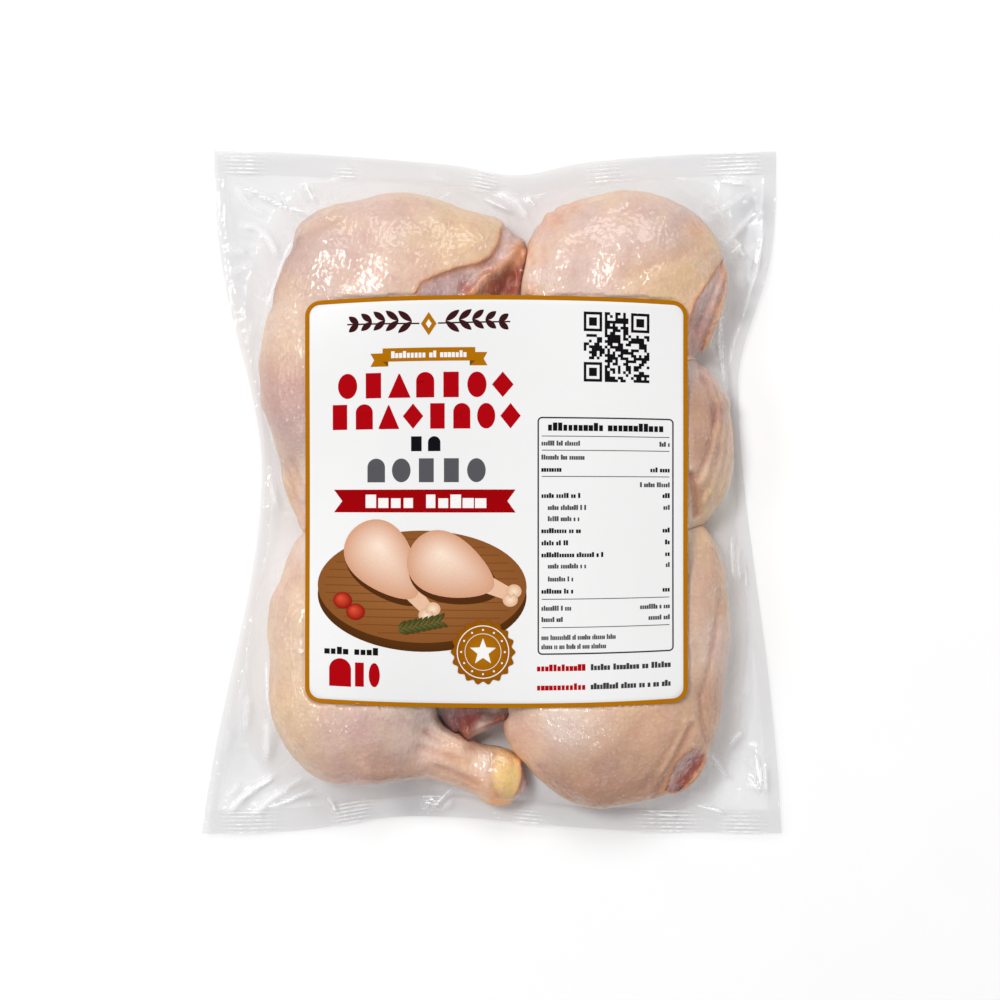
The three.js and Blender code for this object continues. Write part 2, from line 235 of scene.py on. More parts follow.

# Patches of colour: (x, y, radius, colour, strength). A few of them are painted shade and painted
# highlights, as said in the lists.
SKIN_TINTS = {
    "top_left": [
        (-17.5, 135.3, 22, "butter", 1.2), (-66.8, 151.7, 18, "pink", 1.8), (-116, 84, 12, "cream", 3),
        (-118, 96, 10, "pale", 1.6), (-44, 118, 10, "rose", 0.8), (-50, 157, 12, "rose", 0.7),
        (-94.2, 127, 24, "lilac", 2), (-113.4, 105, 13, "cream", 2), (-70, 120, 26, "pink", 1.6),
        (-112, 54, 18, "rose", 2.6), (-112, 48, 22, "purple", 0.9), (-110, 36, 17, "lilac", 3.4),
        (-107, -2, 10, "peach", 2), (-103, 4, 9, "cream", 1.2), (-104, -18, 7, "orange", 1.8),
        (-88.7, 151.7, 12, "cream", 1.4), (-46, 132, 18, "cream", 1.2), (-32, 116, 8, "rose", 1.4),
    ],
    "top_right": [
        (101, 144, 11, "lilac", 2.6), (110, 131, 8, "cream", 3), (94, 150, 10, "pink", 1.6),
        (94, 113, 17, "butter", 2), (59, 143.5, 26, "pink", 2.4), (122, 128, 8, "cream", 4),
        (117, 133, 7, "butter", 2), (112, 143, 6, "orange", 1.6), (28, 146, 7, "rose", 2),
        (37, 155, 6, "rose", 1.6), (33, 150, 6, "orange", 2.4), (42, 158, 6, "orange", 2),
        (24, 128, 9, "peach", 1.6), (21, 108, 5, "orange", 1.2), (26, 118, 5, "pale", 2),
        (50, 118, 20, "pink", 2.6), (66, 164, 9, "butter", 1.2), (100, 165, 8, "butter", 1),
        (88, 132, 16, "lilac", 1.4), (88, 112, 13, "butter", 1.6), (106, 120, 9, "butter", 3),
        (107, 96, 9, "peach", 2),
    ],
    "middle_right": [
        # The russet patch at (110.5, 2) is painted shade in a groove.
        (114, 53, 9, "russet", 2.2), (121, 57, 8, "pink", 1.6), (110.5, 2, 6, "russet", 3),
        (108, 68, 12, "lilac", 3), (122, 43, 5, "purple", 1.6), (112, 24, 12, "russet", 1.4),
        (131, 20, 7, "cream", 3), (118, -6, 11, "butter", 4), (112, 42, 14, "russet", 1.4),
        (118, 24, 9, "russet", 1.5), (124, 34, 8, "peach", 1.4),
    ],
    "bottom_left": [
        # Painted light: the russet patch at (-60, -155) is painted shade on the lower edge, the pale patch
        # at (-4, -150) is a painted highlight, and the pale patches at (-38, -124) and (-46, -134) are
        # painted light in the hollow between thigh and shank.
        (-110.6, -70, 30, "cream", 2), (-113.4, -113.9, 22, "butter", 0.9), (-122, -60, 8, "rose", 1.4),
        (-66.8, -133, 24, "pink", 2.2), (-61, -151, 20, "rose", 1.7), (-34, -124.9, 14, "pink", 1.6),
        (-20, -147, 11, "peach", 3), (-60, -155, 15, "russet", 4.6), (-84, -154, 10, "rose", 1.2),
        (-8, -158, 8, "orange", 0.9), (-12, -140, 7, "rose", 1.4), (9.5, -151, 6.5, "yolk", 14),
        (9.5, -160, 6, "yolk", 14), (-4, -150, 6, "pale", 1.8), (-78, -128, 12, "lilac", 1.6),
        (-46, -134, 12, "pale", 2.6), (-72, -138, 15, "rose", 2), (-112, -44, 10, "rose", 1),
        (-100, -30, 10, "pink", 1.4), (-38, -124, 10, "pale", 4), (-108, -142, 14, "butter", 1.2),
        (-40, -140, 8, "tan", 1), (4, -169, 5, "orange", 4),
    ],
    "bottom_right": [
        # Painted light: the russet patches along the lower and right edges are painted shade, and the pale
        # patch at (42, -126) is a painted highlight.
        (74, -132, 30, "tan", 2), (60, -161, 24, "russet", 6), (98, -128, 20, "tan", 1.8),
        (92, -158, 14, "russet", 1.6), (36, -160, 12, "russet", 1.4), (64, -152, 10, "lilac", 1),
        (42, -126, 15, "pale", 4.5), (56, -122, 14, "cream", 2.6), (16, -138, 11, "peach", 8),
        (115, -112, 12, "russet", 1.6), (124, -84, 13, "pink", 2.4), (120, -50, 20, "tan", 1.6),
        (114, -24, 9, "butter", 3), (82, -172, 12, "orange", 1.2), (11, -141.3, 8, "orange", 1.3),
        (16, -128, 9, "rose", 1), (20.8, -155, 8, "orange", 1), (96, -150, 12, "tan", 1.2),
    ],
}
MEAT_TINTS = {
    "top_left": [
        (-1, 113, 6, "rust", 5), (-21, 113, 9, "lilac", 5), (15, 132, 4.5, "orange", 9),
        (9.5, 125, 3.5, "orange", 6), (4.6, 121.5, 4, "orange", 6), (-4, 115.4, 4, "orange", 6),
        (-10, 107, 5, "orange", 5), (-14, 111, 3.5, "red", 4), (14, 115, 6, "rust", 7),
        (6, 105, 7, "rust", 5), (18, 120, 4, "rust", 5), (10, 144, 7, "pink", 5), (6, 133, 6, "pink", 6),
        (2, 126, 5, "lilac", 5), (14, 149, 4, "orange", 2), (-9, 118, 5, "pale", 4),
        (-35, 108, 6, "lilac", 5),
    ],
    "top_right": [
        (118, 108, 12, "pink", 8), (110, 96, 6, "purple", 3), (124, 116, 5, "peach", 4),
        (112, 84, 7, "rose", 4), (122, 100, 4.5, "orange", 3.5), (115, 104, 4, "lilac", 4),
    ],
    "middle_right": [
        (-24, -122, 8, "purple", 9), (-13, -121, 5, "blood", 20), (-9.5, -133, 2.5, "bone", 9),
        (-6.5, -128, 2.5, "bone", 9), (-2.5, -123, 2.5, "bone", 9), (1, -119, 3, "bone", 6),
        (-14, -130, 4, "rust", 9), (-8, -120, 3, "blood", 8), (7, -124, 6, "rust", 9),
    ],
    "bottom_left": [(17, -158, 9, "cartilage", 5), (12.6, -171, 4.5, "orange", 6)],
    "bottom_right": [
        (99, -149, 6, "lilac", 2.4), (107, -144, 4, "lilac", 2), (103, -159, 6, "red", 3),
        (110, -152, 6, "red", 2.4), (104, -151, 2.5, "bone", 4), (98, -156, 3, "bone", 2),
    ],
}

# Where a seal's ribs shine: (x, y, radius)
SHINES = [
    (-138, 181, 12), (-81, 175, 7), (-5, 172, 8), (134, 179, 16), (62, 172, 12), (-134, -183, 16),
    (-78, -177, 12), (-32, -169.5, 6), (97, -184, 18), (139, -188, 13), (20, -184, 10),
]

# Painted shadow: places where the film is made greyer, beside the right seal and on the bottom seal, where
# the quarters cast shadow: (x, y, radius)
PAINTED_SHADOWS = [
    (144, 156, 13), (142, 142, 10), (140, 127, 10), (139, 113, 9.5), (137, 101, 9), (-40, -174, 17),
]

# Creases and pleats in the film: a line, its half width and its height. Those wider than BROAD get a milky
# painted sheen.
BROAD = 2.5
CREASES = [
    ([(-142.3, 171.4), (-120.1, 160.3), (-96.9, 151.7)], 1.6, 2.6),
    ([(-141.3, 168.8), (-135.4, 159.4), (-124, 152)], 2.6, 1.5),
    ([(-139, 148.4), (-130.3, 146.7), (-124.3, 140.6), (-118, 130)], 2.8, 2.4),
    ([(-104.6, 172), (-98.2, 160)], 1.8, 2), ([(-149, 134.6), (-135.4, 132.9)], 3.4, 1.2),
    ([(-146, 121.8), (-132, 126.2)], 2.6, 0.9),
    ([(-104.6, 141.5), (-111.4, 134.6), (-119.1, 114.2), (-126.8, 95)], 1.4, 2.6),
    ([(-87.4, 154.5), (-91.3, 148)], 1.6, 1.4), ([(-133, 96), (-137, 78), (-134, 60)], 2.8, 1),
    ([(-6.6, 163), (11, 155)], 1.7, 2.4), ([(-30, 160), (-22, 166)], 1.6, 1.2),
    ([(4, 166), (14, 160), (20, 150)], 2.6, 1.5), ([(18, 164), (24, 159)], 1.4, 1.4),
    ([(116.8, 152.4), (130, 158), (143, 167)], 2.6, 1.2), ([(123, 172.7), (145, 170)], 1.6, 1.6),
    ([(128, 175), (143, 173)], 3.4, 1.1), ([(117, 163), (124, 158), (131, 150)], 3, 1.2),
    ([(128.4, 137), (137, 146), (147, 158)], 2.7, 1.4), ([(130.1, 130.2), (139.4, 138.8)], 1.8, 2.2),
    ([(134, 141), (140, 129)], 2.6, 1.8), ([(147, 121), (149, 138)], 1.6, 1.6),
    ([(125.7, 104.6), (124.8, 82.7), (129.4, 53.7)], 1.3, 2.2),
    ([(-145.3, -175.5), (-137, -167.2), (-120, -156)], 2.6, 2.2), ([(-143, -172), (-119, -157)], 1.6, 2),
    ([(-132.9, -178.8), (-122.9, -169.7), (-112, -163.7)], 2.6, 2),
    ([(-124.9, -175.2), (-111.3, -170.5), (-94, -161.2)], 1.7, 2.4),
    ([(-117.1, -166), (-104, -156)], 2.6, 1.6), ([(-125.4, -149.9), (-123.7, -123.7)], 2.6, 2.6),
    ([(-135.4, -112), (-137, -133)], 2.8, 1), ([(-148.6, -144), (-146, -130)], 2.6, 1),
    ([(-147.8, -169), (-139.3, -161.2)], 2.6, 1.2), ([(-124, -88), (-123, -112), (-121, -124)], 1.4, 1.6),
    ([(-35.8, -177.7), (-20, -161)], 1.6, 2.4), ([(-30, -178), (-22, -170)], 2.6, 1.4),
    ([(-91.9, -166.7), (-86, -177.7)], 1.5, 1.6), ([(129.8, -140.6), (139.5, -131.6)], 2, 2.4),
    ([(104, -148), (120.4, -144.8)], 1.3, 1), ([(106, -136), (120.4, -144.8), (135, -162)], 1.4, 2.4),
    ([(146.2, -143), (149.2, -166)], 1.8, 2.4), ([(151, -149), (152.5, -169)], 1.6, 2.4),
    ([(147, -152), (152, -166)], 4, 0.9), ([(154.5, -141.5), (156.2, -166)], 1.8, 2),
    ([(142, -157), (149, -168)], 1.8, 1.8), ([(110, -172.4), (131, -178.4)], 1.6, 1.6),
    ([(84, -176), (104, -181)], 1.5, 1.4), ([(132, -22), (133, -50)], 1.6, 2),
    ([(136, -28), (137, -50)], 2.6, 1.6), ([(140, -36), (141.5, -54)], 1.6, 1.8),
    ([(-124.5, 14), (-122, 2), (-119.5, -10)], 2.6, 1.6), ([(-128, -2), (-124, -18)], 1.4, 1.4),
    ([(146, 52), (132, 50)], 1.6, 1),
]

# Low swells of one size beside the right seal, each from one place to another
SWELL_WIDTH = 5.2
SWELL_HEIGHT = 3.6
SWELLS = [
    [(122, 160), (148, 180)], [(130, 150), (155, 168)], [(134, 138), (155, 154)],
    [(134, 124), (153, 138)], [(132, 110), (151, 123)], [(130, 96), (149, 108)],
    [(129, 82), (147, 92)],
]

# What the film lets through where it is level, at a slant, in the seals and in the painted shadows
LEVEL_SHADE = (0.976, 0.975, 0.976, 1)
SLANT_SHADE = (0.927, 0.929, 0.934, 1)
SEAL_SHADE = (0.93, 0.928, 0.93, 1)
PAINTED_SHADOW_SHADE = (0.81, 0.81, 0.82, 1)

# The printing's inks
GOLD = (178, 112, 8)
DARK_GOLD = (120, 76, 10)
RED = (176, 8, 18)
DARK_RED = (158, 6, 12)
BLACK = (22, 20, 24)
DARK_GREY = (60, 60, 64)
GREY = (88, 88, 92)
BROWN = (60, 26, 28)
WHITE = (246, 245, 244)

# The printed table's rows: (height, indent, groups on the left, groups on the right, bold)
TABLE_ROWS = [
    (31.3, 0, [6, 3, 7], [3, 1], False), (23.8, 0, [8, 3, 7], [], False), (17.3, 0, [8], [3, 4], True),
    (9.2, 40, [], [1, 5, 6], False), (3.3, 0, [5, 5, 2, 1], [3], True),
    (-3.1, 3.5, [5, 8, 1, 1], [3], False), (-9.1, 3.5, [5, 5, 1, 1], [], False),
    (-15.5, 0, [10, 2, 2], [3], True), (-22, 0, [5, 2, 2], [2], True),
    (-28.4, 0, [13, 7, 1, 1], [2], True), (-34.4, 3.5, [5, 8, 1, 1], [2], False),
    (-41.3, 3.5, [8, 1, 1], [], False), (-47.8, 0, [8, 2, 1], [3], True),
    (-56.9, 0, [8, 1, 3], [8, 1, 3], False), (-62.9, 0, [6, 3], [6, 3], False),
    (-72.5, 0, [4, 11, 2, 7, 7, 5], [], False), (-77.4, 0, [6, 2, 3, 5, 2, 4, 8], [], False),
]

# The rows in smaller print
LAST_ROWS = (-72.5, -77.4)

# The floor's side, and the light panels around the pack: name, direction, tilt off the vertical,
# size and radiance
FLOOR_SIZE = 6
WORLD_STRENGTH = 0.33
LIGHT_DISTANCE = 4.2
LIGHTS = [
    ("key", 143, 25, (1.1, 1.1), 20.5), ("lower", 234, 25, (0.6, 0.6), 9),
    ("top", 90, 44, (2.7, 1.2), 4.8), ("left", 180, 50, (2.7, 0.9), 2.9),
    ("bottom", 270, 42, (2.7, 0.4), 1.2), ("right", 0, 64, (2.7, 1.4), 1.3),
]

# The camera looks straight down from beside the pack's middle, on a table's width of FRAME_WIDTH
CAMERA_PLACE = (0.0044, -0.0044, 1.5)
SENSOR = 36
FRAME_WIDTH = 0.5558

# Numbers, places and meshes


def linear(colour):
    """A colour's channels from 0 to 255 as linear light."""
    share = np.array(colour) / 255
    return np.where(share <= 0.04045, share / 12.92, ((share + 0.055) / 1.055) ** 2.4)


def smoothstep(value, low, high):
    t = np.clip((value - low) / (high - low), 0, 1)
    return t * t * (3 - 2 * t)


def mix(a, b, share):
    return a + (b - a) * share


def bell(away, width):
    """1 in the middle, falling off smoothly over that width."""
    return np.exp(-((away / width) ** 2))


def soft_min(a, b, reach):
    """The lower of two values, blended where they are within that reach of each other."""
    share = np.clip(0.5 + 0.5 * (b - a) / reach, 0, 1)
    return mix(b, a, share) - reach * share * (1 - share)


def noise(points, size, seed):
    """Smooth noise from -1 to 1, with lumps of that size, at points of any dimension."""
    count = 32
    dimensions = points.shape[-1]
    lattice = np.random.default_rng(seed).uniform(-1, 1, (count,) * dimensions)
    base = np.floor(points / size).astype(int)
    share = smoothstep(points / size - base, 0, 1)
    total = np.zeros(points.shape[:-1])
    for corner in itertools.product((0, 1), repeat=dimensions):
        weight = np.prod(np.where(corner, share, 1 - share), axis=-1)
        index = tuple(np.moveaxis((base + corner) % count, -1, 0))
        total += weight * lattice[index]
    return total


def from_segment(x, y, start, end):
    """Where places are along a segment, from 0 to 1, and how far away from it."""
    (ax, ay), (bx, by) = start, end
    dx, dy = bx - ax, by - ay
    t = np.clip(((x - ax) * dx + (y - ay) * dy) / (dx * dx + dy * dy), 0, 1)
    return t, np.hypot(x - ax - t * dx, y - ay - t * dy)


def line_distance(x, y, line):
    """How far places on the table's plane are from a line through some points."""
    nearest = np.full(np.broadcast(x, y).shape, np.inf)
    for start, end in zip(line, line[1:]):
        nearest = np.minimum(nearest, from_segment(x, y, start, end)[1])
    return nearest


def outline_distance(x, y, outline):
    """How far places are from a closed outline, negative inside it."""
    closed = outline + outline[:1]
    inside = np.zeros(np.broadcast(x, y).shape, bool)
    for (ax, ay), (bx, by) in zip(closed, closed[1:]):
        crosses = (ay > y) != (by > y)
        run = (bx - ax) * (y - ay) / np.where(by == ay, 1e-9, by - ay) + ax
        inside ^= crosses & (x < run)
    away = line_distance(x, y, closed)
    return np.where(inside, -away, away)


def make_mesh(name, points, faces, material, colours=None, values=None):
    """A smooth mesh object from points in millimetres, with colours and values on its points."""
    mesh = bpy.data.meshes.new(name)
    mesh.from_pydata((points * MM).tolist(), [], faces)
    mesh.update()
    mesh.shade_smooth()
    for key, colour in (colours or {}).items():
        layer = mesh.color_attributes.new(key, "FLOAT_COLOR", "POINT")
        rgba = np.concatenate([colour, np.ones((len(colour), 1))], 1)
        layer.data.foreach_set("color", rgba.astype(np.float32).ravel())
    for key, value in (values or {}).items():
        layer = mesh.attributes.new(key, "FLOAT", "POINT")
        layer.data.foreach_set("value", value.astype(np.float32))
    mesh.materials.append(material)
    made = bpy.data.objects.new(name, mesh)
    bpy.context.scene.collection.objects.link(made)
    return made


def grid_faces(rows, columns):
    """The quads of a grid of points, counter-clockwise where rows run up and columns right."""
    index = np.arange(rows * columns).reshape(rows, columns)
    corners = index[:-1, :-1], index[:-1, 1:], index[1:, 1:], index[1:, :-1]
    return np.stack(corners, -1).reshape(-1, 4)


# The label's place and surface


def label_bow(x, y):
    """How far the label's bowed ends shift a place along Y, given from its middle."""
    return LABEL_BOW * (1 - 2 * (2 * x / LABEL_WIDTH) ** 2) * 2 * y / LABEL_LENGTH


def label_distance(x, y):
    """How far places are from the label's edge, negative inside it."""
    x, y = x - LABEL_X, y - LABEL_Y
    dx = np.abs(x) - LABEL_WIDTH / 2 + LABEL_CORNER
    dy = np.abs(y - label_bow(x, y)) - LABEL_LENGTH / 2 + LABEL_CORNER
    corner = np.hypot(np.maximum(dx, 0), np.maximum(dy, 0))
    return corner + np.minimum(np.maximum(dx, dy), 0) - LABEL_CORNER


def label_terms(x, y):
    """The terms of the smooth surface that the label follows."""
    u, v = (x - LABEL_X) / LABEL_WIDTH, (y - LABEL_Y) / LABEL_LENGTH
    order = 6
    return np.stack([u**i * v**j for i in range(order + 1) for j in range(order + 1 - i)], -1)


def fit_label():
    """The factors of the label's surface, fitted to the CAD label's middle."""
    points = np.array([v.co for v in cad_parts["label"].data.vertices]) / MM
    terms = label_terms(points[:, 0], points[:, 1])
    return np.linalg.lstsq(terms, points[:, 2], rcond=None)[0]


LABEL_FACTORS = fit_label()


def label_top(x, y):
    """The height of the label's printed face."""
    return label_terms(x, y) @ LABEL_FACTORS + LABEL_THICKNESS / 2


# Quarters


def round_distance(offsets, radii):
    """Rough distance to an ellipsoid's surface, from offsets to its middle along its axes."""
    near = np.sqrt(sum((offset / radius) ** 2 for offset, radius in zip(offsets, radii)))
    slope = np.sqrt(sum((offset / radius**2) ** 2 for offset, radius in zip(offsets, radii)))
    near = np.maximum(near, 1e-3)
    return near * (near - 1) / np.maximum(slope, 1e-6)


def piece_field(offsets, z, crown, radii):
    """The field of a lobe or link, which is widest below half of its height."""
    crown = crown * CROWN_SHARE
    widest = WIDEST_SHARE * crown
    up = z - widest
    rise = np.where(up > 0, crown - widest, UNDER_SHARE * widest)
    return round_distance((*offsets, up), (*radii, rise))


def lobe_field(lobe, x, y, z):
    lobe_x, lobe_y, across, along, turn, crown = lobe
    angle = math.radians(turn)
    dx, dy = x - lobe_x, y - lobe_y
    a = dx * math.cos(angle) + dy * math.sin(angle)
    b = dy * math.cos(angle) - dx * math.sin(angle)
    return piece_field((a, b), z, crown, (across, along))


def link_field(start, end, x, y, z):
    """The piece between two of a shank's sections."""
    t, away = from_segment(x, y, start[:2], end[:2])
    radius = mix(start[2], end[2], t)
    return piece_field((away, 0), z, mix(start[3], end[3], t), (radius, radius))


def fold_depth(name, x, y):
    """How deep a quarter's folds are at some places, less than 0 on ridges."""
    return sum(deep * bell(line_distance(x, y, line), width) for line, width, deep in FOLDS[name])


def cut_field(cut, x, y, z):
    """Distance in front of a flat cut."""
    (cut_x, cut_y, cut_z), facing, depth = cut
    facing = np.array(facing) / np.linalg.norm(facing)
    return (x - cut_x) * facing[0] + (y - cut_y) * facing[1] + (z - cut_z) * facing[2] + depth


def whole_field(name, x, y, z):
    """Rough distance to a quarter's outer surface, before its neighbours press on it."""
    quarter = QUARTERS[name]
    shank = quarter["shank"]
    parts = [lobe_field(lobe, x, y, z) for lobe in quarter["lobes"]]
    parts += [link_field(a, b, x, y, z) for a, b in zip(shank, shank[1:])]
    field = functools.reduce(lambda a, b: soft_min(a, b, LOBE_BLEND), parts)
    plane = np.stack(np.broadcast_arrays(x, y), -1)[:, :, 0]
    lumps = 1.1 * noise(plane, 25, 3) + 0.5 * noise(plane, 10, 4) + 0.16 * noise(plane, 4.5, 5)
    field = field + (fold_depth(name, x[:, :, 0], y[:, :, 0]) + lumps)[:, :, None]
    return np.maximum(field, cut_field(CUTS[name], x, y, z)) if name in CUTS else field


def quarter_fields():
    """The grid's coordinates and each quarter's field, negative inside, pressed into place."""
    axes = [np.arange(low, high, VOXEL, dtype=np.float32) for low, high in zip(GRID_LOW, GRID_HIGH)]
    x, y, z = np.meshgrid(*axes, indexing="ij", sparse=True)
    whole = {name: whole_field(name, x, y, z).astype(np.float32) for name in QUARTERS}
    flat = np.broadcast_arrays(x[:, :, 0], y[:, :, 0])
    below_label = label_top(*flat) - LABEL_THICKNESS - LABEL_GAP - FILM_CLEARANCE
    ceiling = np.where(label_distance(*flat) < 1, below_label, GRID_HIGH[2])[:, :, None]
    fields = {}
    for name, field in whole.items():
        pressed = field
        for other, pressing in whole.items():
            if other != name:
                pressed = np.maximum(pressed, (field - pressing + QUARTER_GAP) / 2)
        pressed = -soft_min(-pressed, ceiling - z, CEILING_BLEND)
        edge = outline_distance(*flat, BARE[name])[:, :, None]
        no_skin = np.minimum(edge, z - SKIN_STARTS)
        body = np.maximum(pressed, np.minimum(field + SKIN, -no_skin))
        fields[name] = np.maximum(body, TABLE_GAP - z)
    return axes, fields


CORNERS = list(itertools.product((0, 1), repeat=3))
EDGES = [(a, b) for a, b in itertools.combinations(CORNERS, 2) if math.dist(a, b) == 1]


def surface_net(field, axes):
    """A closed mesh of quads over a field's zero level, one point for each grid cell it crosses."""
    field = np.pad(field, 1, constant_values=1.0)
    low = np.array([axis[0] for axis in axes]) - VOXEL
    inside = field < 0

    def shifted(array, corner):
        return array[tuple(slice(c, n - 1 + c) for c, n in zip(corner, array.shape))]

    count = sum(shifted(inside, corner).astype(np.int8) for corner in CORNERS)
    crossed = (count > 0) & (count < len(CORNERS))
    cells = np.argwhere(crossed)
    number = np.full(crossed.shape, -1)
    number[crossed] = np.arange(len(cells))
    total = np.zeros((len(cells), 3))
    hits = np.zeros((len(cells), 1))
    for a, b in EDGES:
        value_a, value_b = shifted(field, a)[crossed], shifted(field, b)[crossed]
        differ = (value_a < 0) != (value_b < 0)
        share = np.where(differ, value_a / np.where(differ, value_a - value_b, 1), 0)[:, None]
        total += np.where(differ[:, None], np.array(a) + share * (np.array(b) - np.array(a)), 0)
        hits += differ[:, None]
    points = low + (cells + total / hits) * VOXEL
    quads = []
    for axis in range(3):
        step, u, v = np.roll(np.eye(3, dtype=int), -axis, axis=0)
        start = inside[tuple(slice(0, n - s) for n, s in zip(inside.shape, step))]
        end = inside[tuple(slice(s, n) for n, s in zip(inside.shape, step))]
        for rising, found in ((False, start & ~end), (True, ~start & end)):
            at = np.argwhere(found)
            around = [number[tuple((at - shift).T)] for shift in (0 * u, u, u + v, v)]
            quads.append(np.stack(around[::-1] if rising else around, 1))
    return points, np.concatenate(quads).tolist()


def top_heights(axes, fields):
    """The quarters' upper surface over the grid's plane, or far below where there is none."""
    far_below = -10
    union = np.minimum.reduce(list(fields.values()))
    inside = union < 0
    last = inside.shape[2] - 1 - np.argmax(inside[:, :, ::-1], axis=2)
    last = np.minimum(last, inside.shape[2] - 2)
    here = np.take_along_axis(union, last[:, :, None], 2)[:, :, 0]
    above = np.take_along_axis(union, last[:, :, None] + 1, 2)[:, :, 0]
    top = axes[2][last] + VOXEL * here / np.minimum(here - above, -1e-6)
    top = np.where(inside.any(axis=2), top, far_below)
    shifts = itertools.product((0, 1), (-1, 1))
    return np.maximum.reduce([top] + [np.roll(top, shift, axis) for axis, shift in shifts])


def mottled(points):
    """The skin's own colour: cream, drifting to rose, pale and a bluish pink."""
    drift = noise(points, 26, 12)[:, None] + 0.4 * noise(points, 10, 13)[:, None]
    bluish = np.clip(0.9 * noise(points, 17, 14) - 0.1, 0, 0.45)[:, None]
    colour = mix(linear(PALETTE["cream"]), linear(PALETTE["rose"]), np.clip(0.28 * drift, 0, 1))
    colour = mix(colour, linear(PALETTE["pale"]), np.clip(-0.4 * drift, 0, 1))
    return mix(colour, linear(PALETTE["lilac"]), bluish)


def tinted(points, base, tints):
    """Colour at some points: the base colour with patches laid over it."""
    total = base * np.ones((len(points), 1))
    weight = np.ones(len(points))
    for x, y, radius, colour, strength in tints:
        share = strength * bell(np.hypot(points[:, 0] - x, points[:, 1] - y), radius)
        total += share[:, None] * linear(PALETTE[colour])
        weight += share
    return total / weight[:, None]


def steepness(points, axes, field):
    """How steep a quarter is at some points of its surface: 0 where level and 1 on its sides."""
    nearest = [
        np.clip(np.rint((along - axis[0]) / VOXEL).astype(int), 0, len(axis) - 1)
        for along, axis in zip(points.T, axes)
    ]
    slopes = np.stack([part[tuple(nearest)] for part in np.gradient(field)])
    return 1 - slopes[2] / np.maximum(np.linalg.norm(slopes, axis=0), 1e-6)


def make_quarter(name, axes, field, material):
    """A quarter's mesh with the colours of its skin and its bare meat, and painted shade in its grooves
    and on its steep sides.
    """
    points, quads = surface_net(field, axes)
    x, y, z = points.T
    edge = outline_distance(x, y, BARE[name])
    wavy = edge + 0.8 * noise(points, 6, 11)
    bare = np.maximum(smoothstep(-edge, -0.6, 0.4), smoothstep(SKIN_STARTS - z, -0.5, 0.8))
    rim = bell(wavy, 1.6) * smoothstep(z, 2, 8)
    # Painted shade: the skin is darkened in grooves, and made darker and warmer on steep sides.
    deep_groove = 2.5
    groove_shade = np.clip(fold_depth(name, x, y) / deep_groove, 0, 1)[:, None]
    side = 0.75 * smoothstep(steepness(points, axes, field), 0.25, 0.8)[:, None]
    colour = tinted(points, mottled(points), SKIN_TINTS[name])
    colour = mix(colour, colour * linear(GROOVE_SHADE), 0.65 * groove_shade)
    colour = mix(colour, colour * SIDE_SHADE_FACTORS, side)
    bare_colour = tinted(points, linear(PALETTE["meat"]), MEAT_TINTS[name])
    colour = mix(colour, bare_colour, bare[:, None])
    colour = mix(colour, linear(PALETTE["orange"]), 0.55 * rim[:, None])
    return make_mesh("quarter_" + name, points, quads, material, {"tint": colour}, {"bare": bare})


# Film


def drawn(draws, at, half):
    """How far an edge is drawn in at a place along it."""
    depth = 0
    for middle, deep, before, after in draws:
        reach = np.where(at < middle, before, after)
        depth = depth + deep * np.exp(-0.5 * ((at - middle) / reach) ** 2)
    return depth * (1 - (at / half) ** 6)


def place(u, v):
    """The place on the table of the film's point at (u, v), each from 0 to 1."""
    x = mix(-HALF_WIDTH, HALF_WIDTH, u)
    y = mix(-HALF_LENGTH, HALF_LENGTH, v)
    left = mix(-HALF_WIDTH, TOP_LEFT_X, v) + drawn(LEFT_DRAW, y, HALF_LENGTH)
    right = mix(HALF_WIDTH, TOP_RIGHT_X, v) - drawn(RIGHT_DRAW, y, HALF_LENGTH)
    bottom = -HALF_LENGTH + drawn(BOTTOM_DRAW, x, HALF_WIDTH)
    top = HALF_LENGTH - drawn(TOP_DRAW, x, HALF_WIDTH)
    return mix(left, right, u), mix(bottom, top, v)


def seal_height(x, y):
    """How high the gently waving seals stand over the table."""
    swell = 1.6 * np.sin(x / 31 + 0.7) + 1.1 * np.sin(y / 38 - 0.5)
    ripple = 0.4 * np.sin(x / 9 + 5.5) * np.sin(y / 11) + 0.15 * np.sin(x / 5.5 + y / 7)
    return SEAL_HEIGHT + swell + ripple


